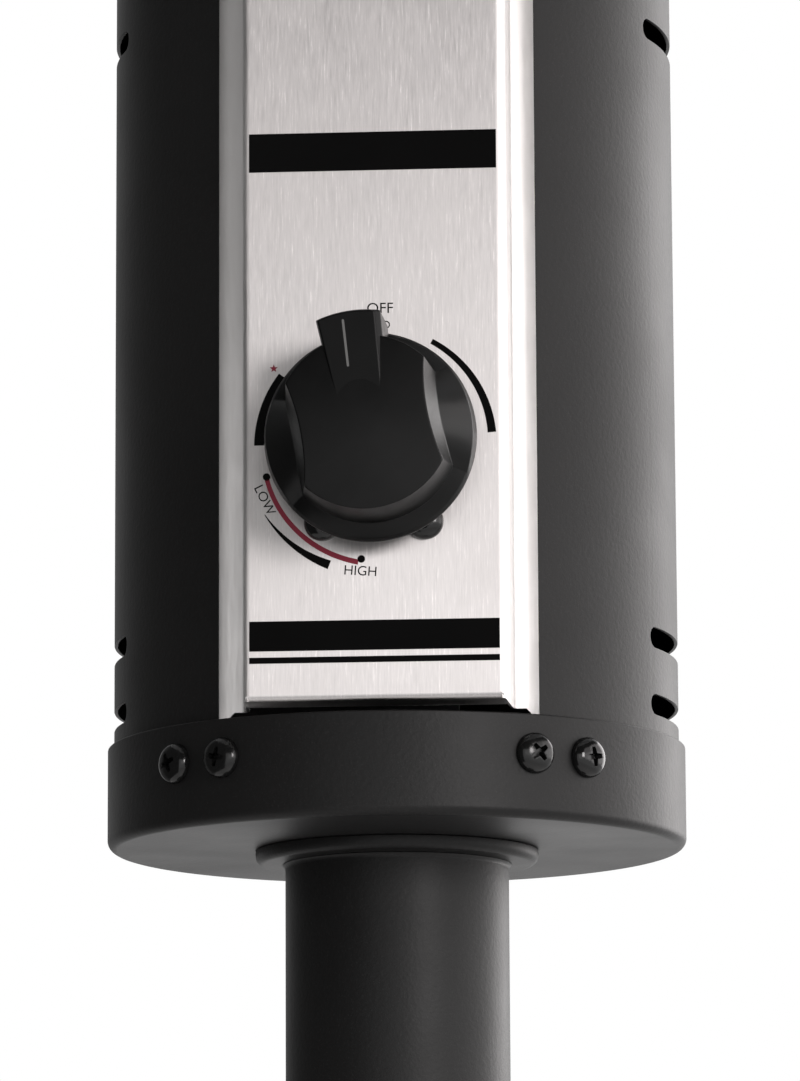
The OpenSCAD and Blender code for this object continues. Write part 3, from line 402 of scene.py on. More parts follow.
def join(name, objs):
    """Joins objects as one, under a name."""
    rest()
    for obj in objs:
        obj.select_set(True)
    bpy.context.view_layer.objects.active = objs[0]
    bpy.ops.object.join()
    joined = bpy.context.object
    joined.name = name
    return joined


def repeat(name, obj, places):
    """Copies a piece to each place, joins the copies as one set, and removes the pattern."""
    made = []
    for matrix in places:
        pick(obj)
        bpy.ops.object.duplicate(linked=False)
        made.append(place(bpy.context.object, matrix))
    bpy.data.objects.remove(obj)
    return join(name, made)


def turned(angle):
    """A turn about the vertical axis."""
    return Matrix.Rotation(math.radians(angle), 4, "Z")


def moved(x, y, z):
    """A move in millimetres."""
    return Matrix.Translation(Vector((x, y, z)) * MM)


def facing(way, at):
    """A place whose +Z points along way, at a point in millimetres."""
    return moved(*at) @ Vector(way).to_track_quat("Z", "Y").to_matrix().to_4x4()


def outward(angle, r, z):
    """A place whose +Z points away from the post, at an angle from the front."""
    a = math.radians(angle - 90)
    way = Vector((math.cos(a), math.sin(a), 0))
    return facing(way, way * r + UP * z)


def rounded(points, radius, steps=6):
    """A flat path with each inner corner replaced by an arc."""
    path = [Vector(p) for p in points]
    out = [path[0]]
    for before, at, after in zip(path, path[1:], path[2:]):
        a = (before - at).normalized()
        b = (after - at).normalized()
        half = a.angle(b) / 2
        centre = at + (a + b).normalized() * radius / math.sin(half)
        start = at + a * radius / math.tan(half) - centre
        end = at + b * radius / math.tan(half) - centre
        for i in range(steps + 1):
            t = i / steps
            sweep = math.pi - 2 * half
            spoke = start * math.sin((1 - t) * sweep) + end * math.sin(t * sweep)
            out.append(centre + spoke / math.sin(sweep))
    return [tuple(p) for p in out + [path[-1]]]


def stadium(half_length, radius, steps=8):
    """Flat outline of a slot with round ends."""
    points = []
    for side in (1, -1):
        for i in range(steps + 1):
            a = math.pi * (i / steps - 0.5)
            points.append((side * (half_length - radius + radius * math.cos(a)), side * radius * math.sin(a)))
    return points


def refined(node, width, segments=2):
    """A merged copy of a CAD node with eased edges."""
    pick(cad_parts[node])
    bpy.ops.object.duplicate(linked=False)
    obj = bpy.context.object
    for key in list(obj.keys()):
        del obj[key]
    obj.parent = None
    obj.name = node + "_finished"
    edit(obj)
    bpy.ops.mesh.remove_doubles(threshold=DOUBLES * MM)
    bpy.ops.mesh.dissolve_limited(angle_limit=math.radians(1.0))
    close()
    return ease(obj, width, segments)


def dress(obj, finish, body="stand", nodes=(), over=None):
    """Gives a piece its finish, or a material over it, puts it under its body, and hides the CAD nodes that
    it stands for.
    """
    obj.data.materials.clear()
    obj.data.materials.append(over or FINISH[finish])
    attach(obj, body)
    if nodes:
        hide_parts(*nodes)
    return obj


# Shader helpers


def add(tree, kind, **values):
    """A shader node: lower-case keys are its settings, the others its inputs, linked or set."""
    node = tree.nodes.new("ShaderNode" + kind)
    for key, value in values.items():
        if key[0].islower():
            setattr(node, key, value)
            continue
        socket = node.inputs[key.replace("_", " ")]
        if isinstance(value, bpy.types.NodeSocket):
            tree.links.new(value, socket)
        else:
            socket.default_value = value
    return node


def sums(tree, operation, a, b):
    """A Math node on two values or sockets."""
    node = tree.nodes.new("ShaderNodeMath")
    node.operation = operation
    for socket, value in zip(node.inputs, (a, b)):
        if isinstance(value, bpy.types.NodeSocket):
            tree.links.new(value, socket)
        else:
            socket.default_value = value
    return node.outputs[0]


def spread(tree, value, low, high, start=0.3, end=0.7):
    """Maps a noise value onto a range."""
    node = add(tree, "MapRange", Value=value, From_Min=start, From_Max=end, To_Min=low, To_Max=high)
    return node.outputs[0]


def blend(tree, amount, first, second):
    """Mixes two colours by an amount."""
    node = add(tree, "MixRGB", Fac=amount, Color1=first, Color2=second)
    return node.outputs[0]


def from_axis(tree, at):
    """Square of the distance from the post's axis, in square metres."""
    sideways = sums(tree, "MULTIPLY", at["X"], at["X"])
    return sums(tree, "ADD", sideways, sums(tree, "MULTIPLY", at["Y"], at["Y"]))


def tone(tint, share):
    """A colour made darker or lighter by a share."""
    return tuple(min(1.0, c * share) for c in tint[:3]) + (1,)


def new_group(name, inputs, outputs):
    """An empty node group with named value inputs and outputs."""
    group = bpy.data.node_groups.new(name, "ShaderNodeTree")
    for label, kind in inputs:
        group.interface.new_socket(label, in_out="INPUT", socket_type="NodeSocket" + kind)
    for label, kind in outputs:
        group.interface.new_socket(label, in_out="OUTPUT", socket_type="NodeSocket" + kind)
    return group, group.nodes.new("NodeGroupInput").outputs, group.nodes.new("NodeGroupOutput").inputs


def make_coat_texture():
    """Fine orange peel of baked powder, with broad uneven tone."""
    group, given, made = new_group(
        "coat_texture", [("Grain", "Float")],
        [("Height", "Float"), ("Tone", "Float"), ("Fleck", "Float")],
    )
    at = add(group, "TexCoord").outputs["Object"]
    peel = add(group, "TexNoise", Vector=at, Scale=given["Grain"], Detail=3.0, Roughness=0.6)
    broad = add(group, "TexNoise", Vector=at, Scale=9.0, Detail=4.0, Roughness=0.55)
    dots = add(group, "TexNoise", Vector=at, Scale=2600.0, Detail=1.0)
    group.links.new(peel.outputs[0], made["Height"])
    group.links.new(broad.outputs[0], made["Tone"])
    group.links.new(spread(group, dots.outputs[0], 0.0, 1.0, 0.62, 0.74), made["Fleck"])
    return group


def make_brushed_grain():
    """Long fine scratches: the vector comes in already stretched along the grain."""
    group, given, made = new_group(
        "brushed_grain", [("Vector", "Vector"), ("Fineness", "Float")],
        [("Streak", "Float"), ("Broad", "Float")],
    )
    fine = add(group, "TexNoise", Vector=given["Vector"], Scale=given["Fineness"], Detail=5.0, Roughness=0.7)
    wide = add(
        group, "TexNoise", Vector=given["Vector"],
        Scale=sums(group, "MULTIPLY", given["Fineness"], 0.12), Detail=3.0,
    )
    group.links.new(fine.outputs[0], made["Streak"])
    group.links.new(wide.outputs[0], made["Broad"])
    return group


def make_handling_marks():
    """Patches of wiped and touched metal or plastic."""
    group, given, made = new_group("handling_marks", [("Size", "Float")], [("Smudge", "Float")])
    at = add(group, "TexCoord").outputs["Object"]
    patch = add(group, "TexNoise", Vector=at, Scale=given["Size"], Detail=6.0, Roughness=0.62, Distortion=0.4)
    group.links.new(spread(group, patch.outputs[0], 0.0, 1.0, 0.38, 0.68), made["Smudge"])
    return group


def make_settled_dust():
    """Dust that lies on faces that look upwards."""
    group, given, made = new_group("settled_dust", [("Amount", "Float")], [("Dust", "Float")])
    at = add(group, "TexCoord").outputs["Object"]
    up = add(group, "SeparateXYZ", Vector=add(group, "NewGeometry").outputs["Normal"]).outputs["Z"]
    facing_up = spread(group, up, 0.0, 1.0, 0.55, 0.95)
    patch = add(group, "TexNoise", Vector=at, Scale=30.0, Detail=7.0, Roughness=0.7)
    cover = sums(group, "MULTIPLY", facing_up, spread(group, patch.outputs[0], 0.2, 1.0, 0.35, 0.65))
    group.links.new(sums(group, "MULTIPLY", cover, given["Amount"]), made["Dust"])
    return group


GROUPS = {
    "coat": make_coat_texture(),
    "brushed": make_brushed_grain(),
    "marks": make_handling_marks(),
    "dust": make_settled_dust(),
}


def effect(tree, name, **values):
    """One of the shared groups placed in a material."""
    node = tree.nodes.new("ShaderNodeGroup")
    node.node_tree = GROUPS[name]
    for key, value in values.items():
        if isinstance(value, bpy.types.NodeSocket):
            tree.links.new(value, node.inputs[key])
        else:
            node.inputs[key].default_value = value
    return node.outputs


def new_material(name, **shader):
    """A material with its Principled shader's plain values set."""
    material = bpy.data.materials.new(name)
    material.use_nodes = True
    bsdf = material.node_tree.nodes["Principled BSDF"]
    for key, value in shader.items():
        bsdf.inputs[key.replace("_", " ")].default_value = value
    return material, material.node_tree, bsdf.inputs


def bump(tree, sockets, height, strength, depth):
    """Feeds a height into the shader's normal; depth is in millimetres."""
    node = add(tree, "Bump", Strength=strength, Distance=depth * MM, Height=height)
    tree.links.new(node.outputs[0], sockets["Normal"])


def powder_coat(name, dark, light, roughness, grain, dust, specular):
    """Matt black baked powder."""
    material, tree, shader = new_material(name, Specular_IOR_Level=specular)
    coat = effect(tree, "coat", Grain=grain)
    marks = effect(tree, "marks", Size=16.0)
    base = blend(tree, spread(tree, coat["Tone"], 0.0, 1.0), dark, light)
    base = blend(tree, sums(tree, "MULTIPLY", coat["Fleck"], 0.15), base, (0.05, 0.05, 0.05, 1))
    base = blend(tree, effect(tree, "dust", Amount=dust)["Dust"], base, (0.20, 0.19, 0.17, 1))
    tree.links.new(base, shader["Base Color"])
    rough = spread(tree, coat["Tone"], roughness - 0.04, roughness + 0.04)
    rough = sums(tree, "ADD", rough, sums(tree, "MULTIPLY", marks["Smudge"], -0.05))
    tree.links.new(rough, shader["Roughness"])
    bump(tree, shader, coat["Height"], 0.9, 0.09)
    return material


def brushed_metal(name, tint, roughness, stretch, fineness, relief, smudge=0.08, sides=None, **shader_values):
    """Metal with straight grain, scaled by stretch along X, Y and Z; sides gives the bent edges, walls and
    flanges beyond the face a lighter colour, partly their unbrushed finish and partly a painted highlight for
    the bright reflection they catch.
    """
    material, tree, shader = new_material(name, Metallic=1.0, **shader_values)
    at = add(tree, "TexCoord").outputs["Object"]
    along = add(tree, "Mapping", Vector=at, Scale=stretch).outputs[0]
    grain = effect(tree, "brushed", Vector=along, Fineness=fineness)
    marks = effect(tree, "marks", Size=22.0)
    base = blend(tree, spread(tree, grain["Streak"], 0.0, 1.0), tone(tint, 0.83), tone(tint, 1.08))
    base = blend(tree, spread(tree, grain["Broad"], 0.0, 0.35), base, tint)
    # Short bright flecks along the grain: the scratches are real, but their glint is a painted highlight in
    # the colour.
    base = blend(tree, spread(tree, grain["Streak"], 0.0, 0.8, 0.6, 0.74), base, tone(tint, 1.4))
    # Beyond the face's edge the colour turns lighter: partly the unbrushed finish, partly a painted highlight
    # on the walls and flanges.
    if sides:
        across = sums(tree, "ABSOLUTE", add(tree, "SeparateXYZ", Vector=at).outputs["X"], 0.0)
        beyond = spread(tree, across, 0.0, 1.0, (PANEL_HALF_W - 0.9) * MM, PANEL_HALF_W * MM)
        base = blend(tree, beyond, base, sides)
    tree.links.new(base, shader["Base Color"])
    rough = spread(tree, grain["Streak"], roughness - 0.06, roughness + 0.06)
    rough = sums(tree, "ADD", rough, sums(tree, "MULTIPLY", marks["Smudge"], smudge))
    tree.links.new(rough, shader["Roughness"])
    bump(tree, shader, grain["Streak"], 0.25, relief)
    return material


def spun_metal(name, tint, roughness, fineness, relief):
    """Metal with rings of grain about the post's axis."""
    material, tree, shader = new_material(name, Metallic=1.0)
    at = add(tree, "SeparateXYZ", Vector=add(tree, "TexCoord").outputs["Object"]).outputs
    radius = sums(tree, "POWER", from_axis(tree, at), 0.5)
    along = add(tree, "CombineXYZ", X=radius, Y=at["Z"], Z=0.0).outputs[0]
    grain = effect(tree, "brushed", Vector=along, Fineness=fineness)
    marks = effect(tree, "marks", Size=7.0)
    base = blend(tree, spread(tree, grain["Streak"], 0.0, 1.0), tone(tint, 0.9), tint)
    base = blend(tree, effect(tree, "dust", Amount=0.12)["Dust"], base, (0.45, 0.43, 0.40, 1))
    tree.links.new(base, shader["Base Color"])
    rough = spread(tree, grain["Broad"], roughness - 0.05, roughness + 0.05)
    rough = sums(tree, "ADD", rough, sums(tree, "MULTIPLY", marks["Smudge"], 0.09))
    tree.links.new(rough, shader["Roughness"])
    bump(tree, shader, grain["Streak"], 0.2, relief)
    return material


def moulded(name, dark, light, roughness, grain, relief, **shader_values):
    """Moulded plastic, rubber or ceramic with a fine skin."""
    material, tree, shader = new_material(name, **shader_values)
    coat = effect(tree, "coat", Grain=grain)
    marks = effect(tree, "marks", Size=60.0)
    base = blend(tree, spread(tree, coat["Tone"], 0.0, 1.0), dark, light)
    base = blend(tree, sums(tree, "MULTIPLY", marks["Smudge"], 0.25), base, light)
    tree.links.new(base, shader["Base Color"])
    rough = spread(tree, marks["Smudge"], roughness - 0.05, roughness + 0.07, 0.0, 1.0)
    tree.links.new(rough, shader["Roughness"])
    bump(tree, shader, coat["Height"], 0.3, relief)
    return material


def cast_metal(name, tint, roughness, grain, relief, stain):
    """Cast, plated or drawn metal with a fine even skin and faint stains."""
    material, tree, shader = new_material(name, Metallic=1.0)
    coat = effect(tree, "coat", Grain=grain)
    marks = effect(tree, "marks", Size=45.0)
    base = blend(tree, spread(tree, coat["Tone"], 0.0, 0.5), tint, stain)
    base = blend(tree, sums(tree, "MULTIPLY", marks["Smudge"], 0.35), base, stain)
    tree.links.new(base, shader["Base Color"])
    rough = spread(tree, marks["Smudge"], roughness - 0.06, roughness + 0.1, 0.0, 1.0)
    tree.links.new(rough, shader["Roughness"])
    bump(tree, shader, coat["Height"], 0.3, relief)
    return material


def heated_screen():
    """Stainless mesh coloured by heat: straw at the ends, brown and blue where it glows."""
    material, tree, shader = new_material("screen_steel", Metallic=1.0)
    at = add(tree, "TexCoord").outputs["Object"]
    height = add(tree, "SeparateXYZ", Vector=at).outputs["Z"]
    share = add(
        tree, "MapRange", Value=height, From_Min=SCREEN_LOW * MM, From_Max=SCREEN_TOP * MM,
    ).outputs[0]
    wander = add(tree, "TexNoise", Vector=at, Scale=11.0, Detail=5.0).outputs[0]
    share = sums(tree, "ADD", share, spread(tree, wander, -0.12, 0.12))
    ramp = add(tree, "ValToRGB", Fac=share)
    stops = ramp.color_ramp.elements
    stops[0].position = 0.0
    stops[0].color = (0.60, 0.55, 0.44, 1)
    stops[1].position = 1.0
    stops[1].color = (0.62, 0.58, 0.50, 1)
    for position, colour in (
        (0.22, (0.52, 0.38, 0.20, 1)), (0.42, (0.33, 0.22, 0.20, 1)),
        (0.58, (0.25, 0.25, 0.34, 1)), (0.78, (0.50, 0.40, 0.26, 1)),
    ):
        stops.new(position).color = colour
    tree.links.new(ramp.outputs[0], shader["Base Color"])
    coat = effect(tree, "coat", Grain=700.0)
    tree.links.new(spread(tree, coat["Tone"], 0.34, 0.5), shader["Roughness"])
    bump(tree, shader, coat["Height"], 0.25, 0.04)
    return material


def printed_ink(name, colour, worn):
    """Screen-printed ink, a little uneven."""
    material, tree, shader = new_material(name, Specular_IOR_Level=0.03)
    coat = effect(tree, "coat", Grain=1500.0)
    base = blend(tree, spread(tree, coat["Tone"], 0.0, 1.0), colour, worn)
    tree.links.new(base, shader["Base Color"])
    tree.links.new(spread(tree, coat["Tone"], 0.42, 0.55), shader["Roughness"])
    bump(tree, shader, coat["Height"], 0.2, 0.02)
    return material


STRAIGHT_UP = (1.0, 1.0, 0.065)

FINISH = {
    "black_powder_coat": powder_coat(
        "black_powder_coat", (0.0056, 0.0055, 0.0056, 1), (0.008, 0.0078, 0.0078, 1), 0.5, 750.0, 0.06, 0.25),
    "head_black": powder_coat(
        "head_black", (0.0054, 0.0052, 0.0053, 1), (0.0074, 0.0072, 0.0072, 1), 0.5, 750.0, 0.04, 0.25),
    # The panel's sides colour is lighter than its face: partly the unbrushed finish, partly a painted
    # highlight on the walls and flanges.
    "stainless_panel": brushed_metal(
        "stainless_panel", (0.64, 0.617, 0.611, 1), 0.43, STRAIGHT_UP, 2300.0, 0.02,
        sides=(0.92, 0.90, 0.89, 1), Anisotropic=0.7),
    "stainless": spun_metal("stainless", (0.62, 0.61, 0.59, 1), 0.32, 1100.0, 0.02),
    "screen_steel": heated_screen(),
    "aluminium_sheet": spun_metal("aluminium_sheet", (0.80, 0.81, 0.82, 1), 0.3, 800.0, 0.02),
    "aluminium_cast": cast_metal(
        "aluminium_cast", (0.60, 0.61, 0.62, 1), 0.45, 900.0, 0.06, (0.42, 0.42, 0.42, 1)),
    "zinc_steel": cast_metal(
        "zinc_steel", (0.62, 0.63, 0.65, 1), 0.34, 1200.0, 0.03, (0.46, 0.45, 0.41, 1)),
    "dull_steel": cast_metal(
        "dull_steel", (0.05, 0.05, 0.052, 1), 0.5, 1200.0, 0.03, (0.03, 0.03, 0.03, 1)),
    "brass": cast_metal("brass", (0.72, 0.53, 0.24, 1), 0.3, 1200.0, 0.03, (0.46, 0.31, 0.13, 1)),
    "copper": cast_metal("copper", (0.72, 0.38, 0.22, 1), 0.34, 1200.0, 0.03, (0.38, 0.18, 0.10, 1)),
    "black_plastic": moulded(
        "black_plastic", (0.0015, 0.0015, 0.0016, 1), (0.0028, 0.0028, 0.0028, 1), 0.34, 1500.0, 0.015,
        Specular_IOR_Level=0.18),
    "white_plastic": moulded(
        "white_plastic", (0.085, 0.085, 0.083, 1), (0.115, 0.115, 0.112, 1), 0.45, 1500.0, 0.02),
    "rubber": moulded("rubber", (0.014, 0.014, 0.014, 1), (0.03, 0.029, 0.028, 1), 0.7, 1100.0, 0.05),
    "wheel_plastic": moulded(
        "wheel_plastic", (0.016, 0.016, 0.016, 1), (0.035, 0.034, 0.033, 1), 0.55, 900.0, 0.05),
    "black_screw": moulded(
        "black_screw", (0.003, 0.003, 0.003, 1), (0.006, 0.006, 0.006, 1), 0.16, 1800.0, 0.02,
        Specular_IOR_Level=0.4),
    "ceramic": moulded("ceramic", (0.70, 0.67, 0.60, 1), (0.80, 0.78, 0.72, 1), 0.3, 900.0, 0.02),
    "lead_sheath": moulded("lead_sheath", (0.42, 0.41, 0.37, 1), (0.55, 0.54, 0.50, 1), 0.5, 1500.0, 0.03),
}
BLACK_INK = printed_ink("black_ink", (0.0012, 0.0012, 0.0012, 1), (0.003, 0.003, 0.003, 1))
RED_INK = printed_ink("red_ink", (0.155, 0.022, 0.036, 1), (0.19, 0.03, 0.045, 1))


# Control head


def head(z):
    """A height in the control head, as a height above the floor."""
    return HEAD_Z + z


def oblong(half, y, low, high):
    """Corners of an upright rectangle on the head's middle, between two heights in the head."""
    return [(-half, y, head(low)), (half, y, head(low)), (half, y, head(high)), (-half, y, head(high))]


def make_shell():
    """Sheet cylinder with a window for the panel and vent slots at its sides."""
    low, high = head(SHELL_LOW), head(HEAD_H - SHELL_LOW)
    inner = SHELL_R - SHELL_T
    profile = [(SHELL_R, low), (SHELL_R, high), (inner, high), (inner, low), (SHELL_R, low)]
    shell = lathe("shell", profile, 180)
    corners = oblong(WINDOW_HALF_W, -2 * SHELL_R, WINDOW_END, HEAD_H - WINDOW_END)
    window = outline("window", corners, fill=True)
    cut(shell, extrude(window, (0, 2 * SHELL_R, 0)))
    reach = SHELL_R * math.cos(math.radians(SLOT_ENDS))
    for z in SLOT_HEIGHTS:
        points = [(-2 * SHELL_R, y, head(z) + h) for y, h in stadium(reach, SLOT_H / 2)]
        slot = outline("slot", points, fill=True)
        cut(shell, extrude(slot, (4 * SHELL_R, 0, 0)))
    tidy(shell)
    ease(shell, 0.25)
    dress(shell, "head_black", nodes=["head_shell"])


def make_end_caps():
    """Pressed cups that close the head; the upper one is the lower one turned over."""
    for name, node, hole_r in (
        ("base_cap", "head_base_cap", HOSE_HOLE_R), ("top_cap", "head_top_cap", MIXER_HOLE_R),
    ):
        path = rounded([(hole_r, 0), (CAP_R, 0), (CAP_R, CAP_H)], CAP_BEND, 8)
        cap = lathe(name, path, 180)
        thicken(cap, CAP_T)
        tidy(cap)
        ease(cap, 0.45, 3)
        if name == "top_cap":
            place(cap, moved(0, 0, HEAD_H) @ Matrix.Rotation(math.pi, 4, "X"))
        place(cap, moved(0, 0, HEAD_Z))
        dress(cap, "head_black", nodes=[node])


def pan_head(name, r, h):
    """Pan head with a cross recess, its seat at the origin and its top along +Z."""
    rim, roundness, steps = 0.18, 0.76, 8
    profile = [(0, 0), (r, 0), (r, h * rim)]
    for i in range(1, steps):
        a = math.radians(90 * i / steps)
        profile.append((r * math.cos(a) ** roundness, h * (rim + (1 - rim) * math.sin(a))))
    screw = lathe(name, profile + [(0, h)], 40)
    arm, half, deep = r * 0.56, r * 0.17, h * 0.7
    tip = half * 0.7
    arms = [
        (half, half), (arm, tip), (arm, -tip), (half, -half), (tip, -arm), (-tip, -arm),
        (-half, -half), (-arm, -tip), (-arm, tip), (-half, half), (-tip, arm), (tip, arm)]
    cross = outline("cross", [(x, y, h + 1) for x, y in arms], fill=True)
    extrude(cross, (0, 0, -deep - 1))
    select(cross, lambda x, y, z: z < h)
    bpy.ops.transform.resize(value=(0.6, 0.6, 1))
    close()
    cut(screw, tidy(cross))
    return ease(screw, 0.2, 3, 40)


def make_cap_screws():
    """Screws round both end caps, each stopped at its own turn."""
    for name, node, z in (
        ("base_cap_screws", "cap_screws", CAP_SCREW_Z),
        ("top_cap_screw_set", "top_cap_screws", HEAD_H - CAP_SCREW_Z),
    ):
        screw = pan_head("cap_screw", CAP_SCREW_R, SCREW_HEAD_H)
        places = [
            outward(angle, CAP_R, head(z)) @ turned(turn)
            for angle, turn in zip(CAP_SCREW_ANGLES, CAP_SCREW_TURNS)]
        screws = repeat(name, screw, places)
        dress(screws, "black_screw", nodes=[node])


def make_panel():
    """Hat-shaped panel: raised face, leaning walls, flanges behind the shell, and lips bent back."""
    low, high = head(PANEL_LOW), head(HEAD_H - PANEL_END)
    bends = rounded([
        (-FLANGE_X, -FLANGE_Y), (-WALL_FOOT_X, -FLANGE_Y), (-PANEL_HALF_W, -FACE_Y),
        (PANEL_HALF_W, -FACE_Y), (WALL_FOOT_X, -FLANGE_Y), (FLANGE_X, -FLANGE_Y)], PANEL_BEND)
    section = [bends[0], (-NOTCH_X, -FLANGE_Y)] + bends[1:-1] + [(NOTCH_X, -FLANGE_Y), bends[-1]]
    flat = max(x for x, y in section if abs(y + FACE_Y) < 0.001)
    panel = outline("panel", [(x, y, low + LIP_BEND) for x, y in section])
    extrude(panel, (0, 0, high - low - 2 * LIP_BEND))
    for end, sign, rise in ((low, 1, PANEL_LOW), (high, -1, PANEL_END)):
        level = end + sign * LIP_BEND
        select(panel, lambda x, y, z: abs(z - level) < NEAR and abs(x) < flat + NEAR)
        centre = Vector((0, LIP_BEND - FACE_Y, level)) * MM
        bpy.ops.mesh.spin(steps=6, angle=-sign * math.pi / 2, center=centre, axis=(1, 0, 0))
        push((0, LIP_DEPTH, 0))
        for side in (-1, 1):
            select(panel, lambda x, y, z: abs(x - side * flat) < NEAR and abs(z - end) < 0.8 * LIP_BEND)
            bpy.ops.transform.translate(value=(side * LIP_GROWTH * MM, 0, 0))
        select(panel, lambda x, y, z: abs(z - level) < NEAR and abs(x) > flat + NEAR)
        push((0, 0, -sign * LIP_BEND))
        select(panel, lambda x, y, z: abs(z - end) < NEAR and abs(x) > NOTCH_X - NEAR)
        push((0, 0, -sign * NOTCH_R))
        foot = end - sign * NOTCH_R
        for side in (-1, 1):
            select(panel, lambda x, y, z: abs(z - foot) < NEAR and abs(x - side * NOTCH_X) < NEAR)
            bpy.ops.transform.translate(value=(side * NOTCH_R * MM, 0, 0))
        select(panel, lambda x, y, z: abs(z - foot) < NEAR and abs(x) > NOTCH_X)
        push((0, 0, -sign * (rise - NOTCH_R - FLANGE_END)))
        close()
    tidy(panel)
    if max(panel.data.polygons, key=lambda face: face.area).normal.y > 0:
        edit(panel)
        bpy.ops.mesh.flip_normals()
        close()
    thicken(panel, PANEL_T)
    ease(panel, 0.18)
    dress(panel, "stainless_panel", nodes=["control_panel"])


# Knob, marks and screws on the panel


def dial(angle, r, e=0.0):
    """A point on the dial: an angle anticlockwise from the top, a radius, and a distance from the face."""
    a = math.radians(angle)
    return (DIAL_X - r * math.sin(a), -FACE_Y - e, head(KNOB_Z) + r * math.cos(a))


def knob_axes():
    """Place of the knob's own frame: X to the viewer's right, Y up, Z towards the viewer."""
    turn = Matrix.Rotation(math.radians(KNOB_TURN), 4, "Z")
    axes = Matrix(((1, 0, 0, 0), (0, 0, -1, 0), (0, 1, 0, 0), (0, 0, 0, 1)))
    return moved(0, -FACE_Y, head(KNOB_Z)) @ axes @ turn


def knob_level(r, e, reach=None, crease=37.0, swell=0.0, share=1.0):
    """One level of the knob: a circle with sides drawn in to a reach, and swollen, between creases."""
    crease = math.radians(crease)
    points = []
    for middle in (0, 90, 180, 270):
        hollow = middle % 180 == 0
        half = crease if hollow else math.pi / 2 - crease
        steps = 20 if hollow else 36
        for i in range(steps):
            t = 2 * i / steps - 1
            a = math.radians(middle) + half * t
            x, y = r * math.cos(a), r * math.sin(a)
            if hollow and reach:
                way = math.cos(math.radians(middle))
                x = way * (reach + (r * math.cos(crease) - reach) * t * t)
                y = way * r * math.sin(crease) * t
            lift = swell * (1 - t * t) if hollow else 0.0
            z = dome(math.hypot(x, y) * share) if e is None else e + lift
            points.append((x * share, y * share, z))
    return points


def dome(r):
    """Height of the knob's domed front above the panel at a radius."""
    brow_r, brow_e = KNOB_BROW[:2]
    return KNOB_FRONT - (KNOB_FRONT - brow_e) * (r / brow_r) ** 2


def pointer_level(left, right, r, drop):
    """One level of the pointer, a drop below its top, with a nose that follows the dial."""
    first, last = math.asin(right / r), math.asin(left / r)
    points = []
    for i in range(13):
        a = first + (last - first) * i / 12
        points.append((r * math.sin(a), r * math.cos(a)))
    points.append((left + POINTER_TAIL_IN[0], POINTER_TAIL_Y))
    points.append((right - POINTER_TAIL_IN[1], POINTER_TAIL_Y))
    return [(x, y, POINTER_TOP - POINTER_FALL * y - drop) for x, y in points]


def make_knob():
    """Moulded knob: round skirt, hollowed sides, a domed front, a raised pointer and its index line."""
    brow_r, _, brow_reach, brow_crease = KNOB_BROW
    levels = [knob_level(r, e) for r, e in (
        (KNOB_R - 0.8, KNOB_BACK), (KNOB_R - 0.25, KNOB_BACK + 0.25), (KNOB_R, KNOB_BACK + 0.8),
        (KNOB_R, KNOB_SKIRT))]
    levels += [knob_level(*level) for level in (KNOB_SHOULDER, KNOB_SEAT, KNOB_WAIST)]
    for share in DOME_SHARES:
        levels.append(knob_level(brow_r, None, brow_reach, brow_crease, share=share))
    knob = ease(loft("knob", levels), 0.6, 4, 14)
    pointer = loft("pointer", [pointer_level(*level) for level in POINTER_LEVELS])
    ease(pointer, 0.4, 3)
    boss_front = KNOB_BACK + 0.5
    boss = lathe("boss", [
        (BOSS_BORE_R, BOSS_BACK), (BOSS_R - 0.4, BOSS_BACK), (BOSS_R, BOSS_BACK + 0.4),
        (BOSS_R, boss_front), (BOSS_BORE_R, boss_front), (BOSS_BORE_R, BOSS_BACK)], 48)
    whole = join("knob", [knob, pointer, smooth(boss)])
    place(whole, knob_axes())
    dress(whole, "black_plastic", "knob", ["control_knob"])
    start, run = Vector(INDEX_FROM), Vector(INDEX_TO) - Vector(INDEX_FROM)
    along, across = run.normalized(), run.orthogonal().normalized()
    spots = [start + run / 2 + x * along + y * across for x, y in stadium(run.length / 2, INDEX_W / 2, 5)]
    bed = POINTER_TOP - INDEX_DEPTH
    line = outline("index", [(x, y, bed - POINTER_FALL * y) for x, y in spots], fill=True)
    extrude(line, (0, 0, INDEX_DEPTH + INDEX_PROUD))
    smooth(line)
    place(line, knob_axes())
    dress(line, "white_plastic", "knob", ["knob_index"])


def make_valve_screws():
    """The two screws under the knob."""
    screw = pan_head("valve_screw", VALVE_SCREW_R, SCREW_HEAD_H)
    places = [facing((0, -1, 0), (side * VALVE_SCREW_X, -FACE_Y, head(VALVE_SCREW_Z))) for side in (-1, 1)]
    screws = repeat("panel_screws", screw, places)
    dress(screws, "black_screw", nodes=["valve_screws"])


def ink(name, points, material=None):
    """A printed shape on the panel's face, through points on it."""
    mark = outline(name, points, fill=True)
    extrude(mark, (0, -INK_T, 0))
    smooth(mark, 30)
    return dress(mark, "stainless_panel", over=material or BLACK_INK)


def band(name, low, high):
    """A bar across the face, between two heights in the head."""
    ink(name, oblong(PANEL_HALF_W - PANEL_BEND, -FACE_Y, low, high))


def arc(name, start, end, inner, outer, material=None, steps=28):
    """A dial mark from one angle to another; inner and outer hold a radius for each end."""
    there = [start + (end - start) * i / steps for i in range(steps + 1)]
    grow = [i / steps for i in range(steps + 1)]
    out = [dial(a, outer[0] + (outer[1] - outer[0]) * g) for a, g in zip(there, grow)]
    back = [dial(a, inner[0] + (inner[1] - inner[0]) * g) for a, g in zip(there, grow)]
    ink(name, out + back[::-1], material)


def on_face(a):
    """A way across the face, at an angle in radians from the right."""
    return Vector((math.cos(a), 0, math.sin(a)))


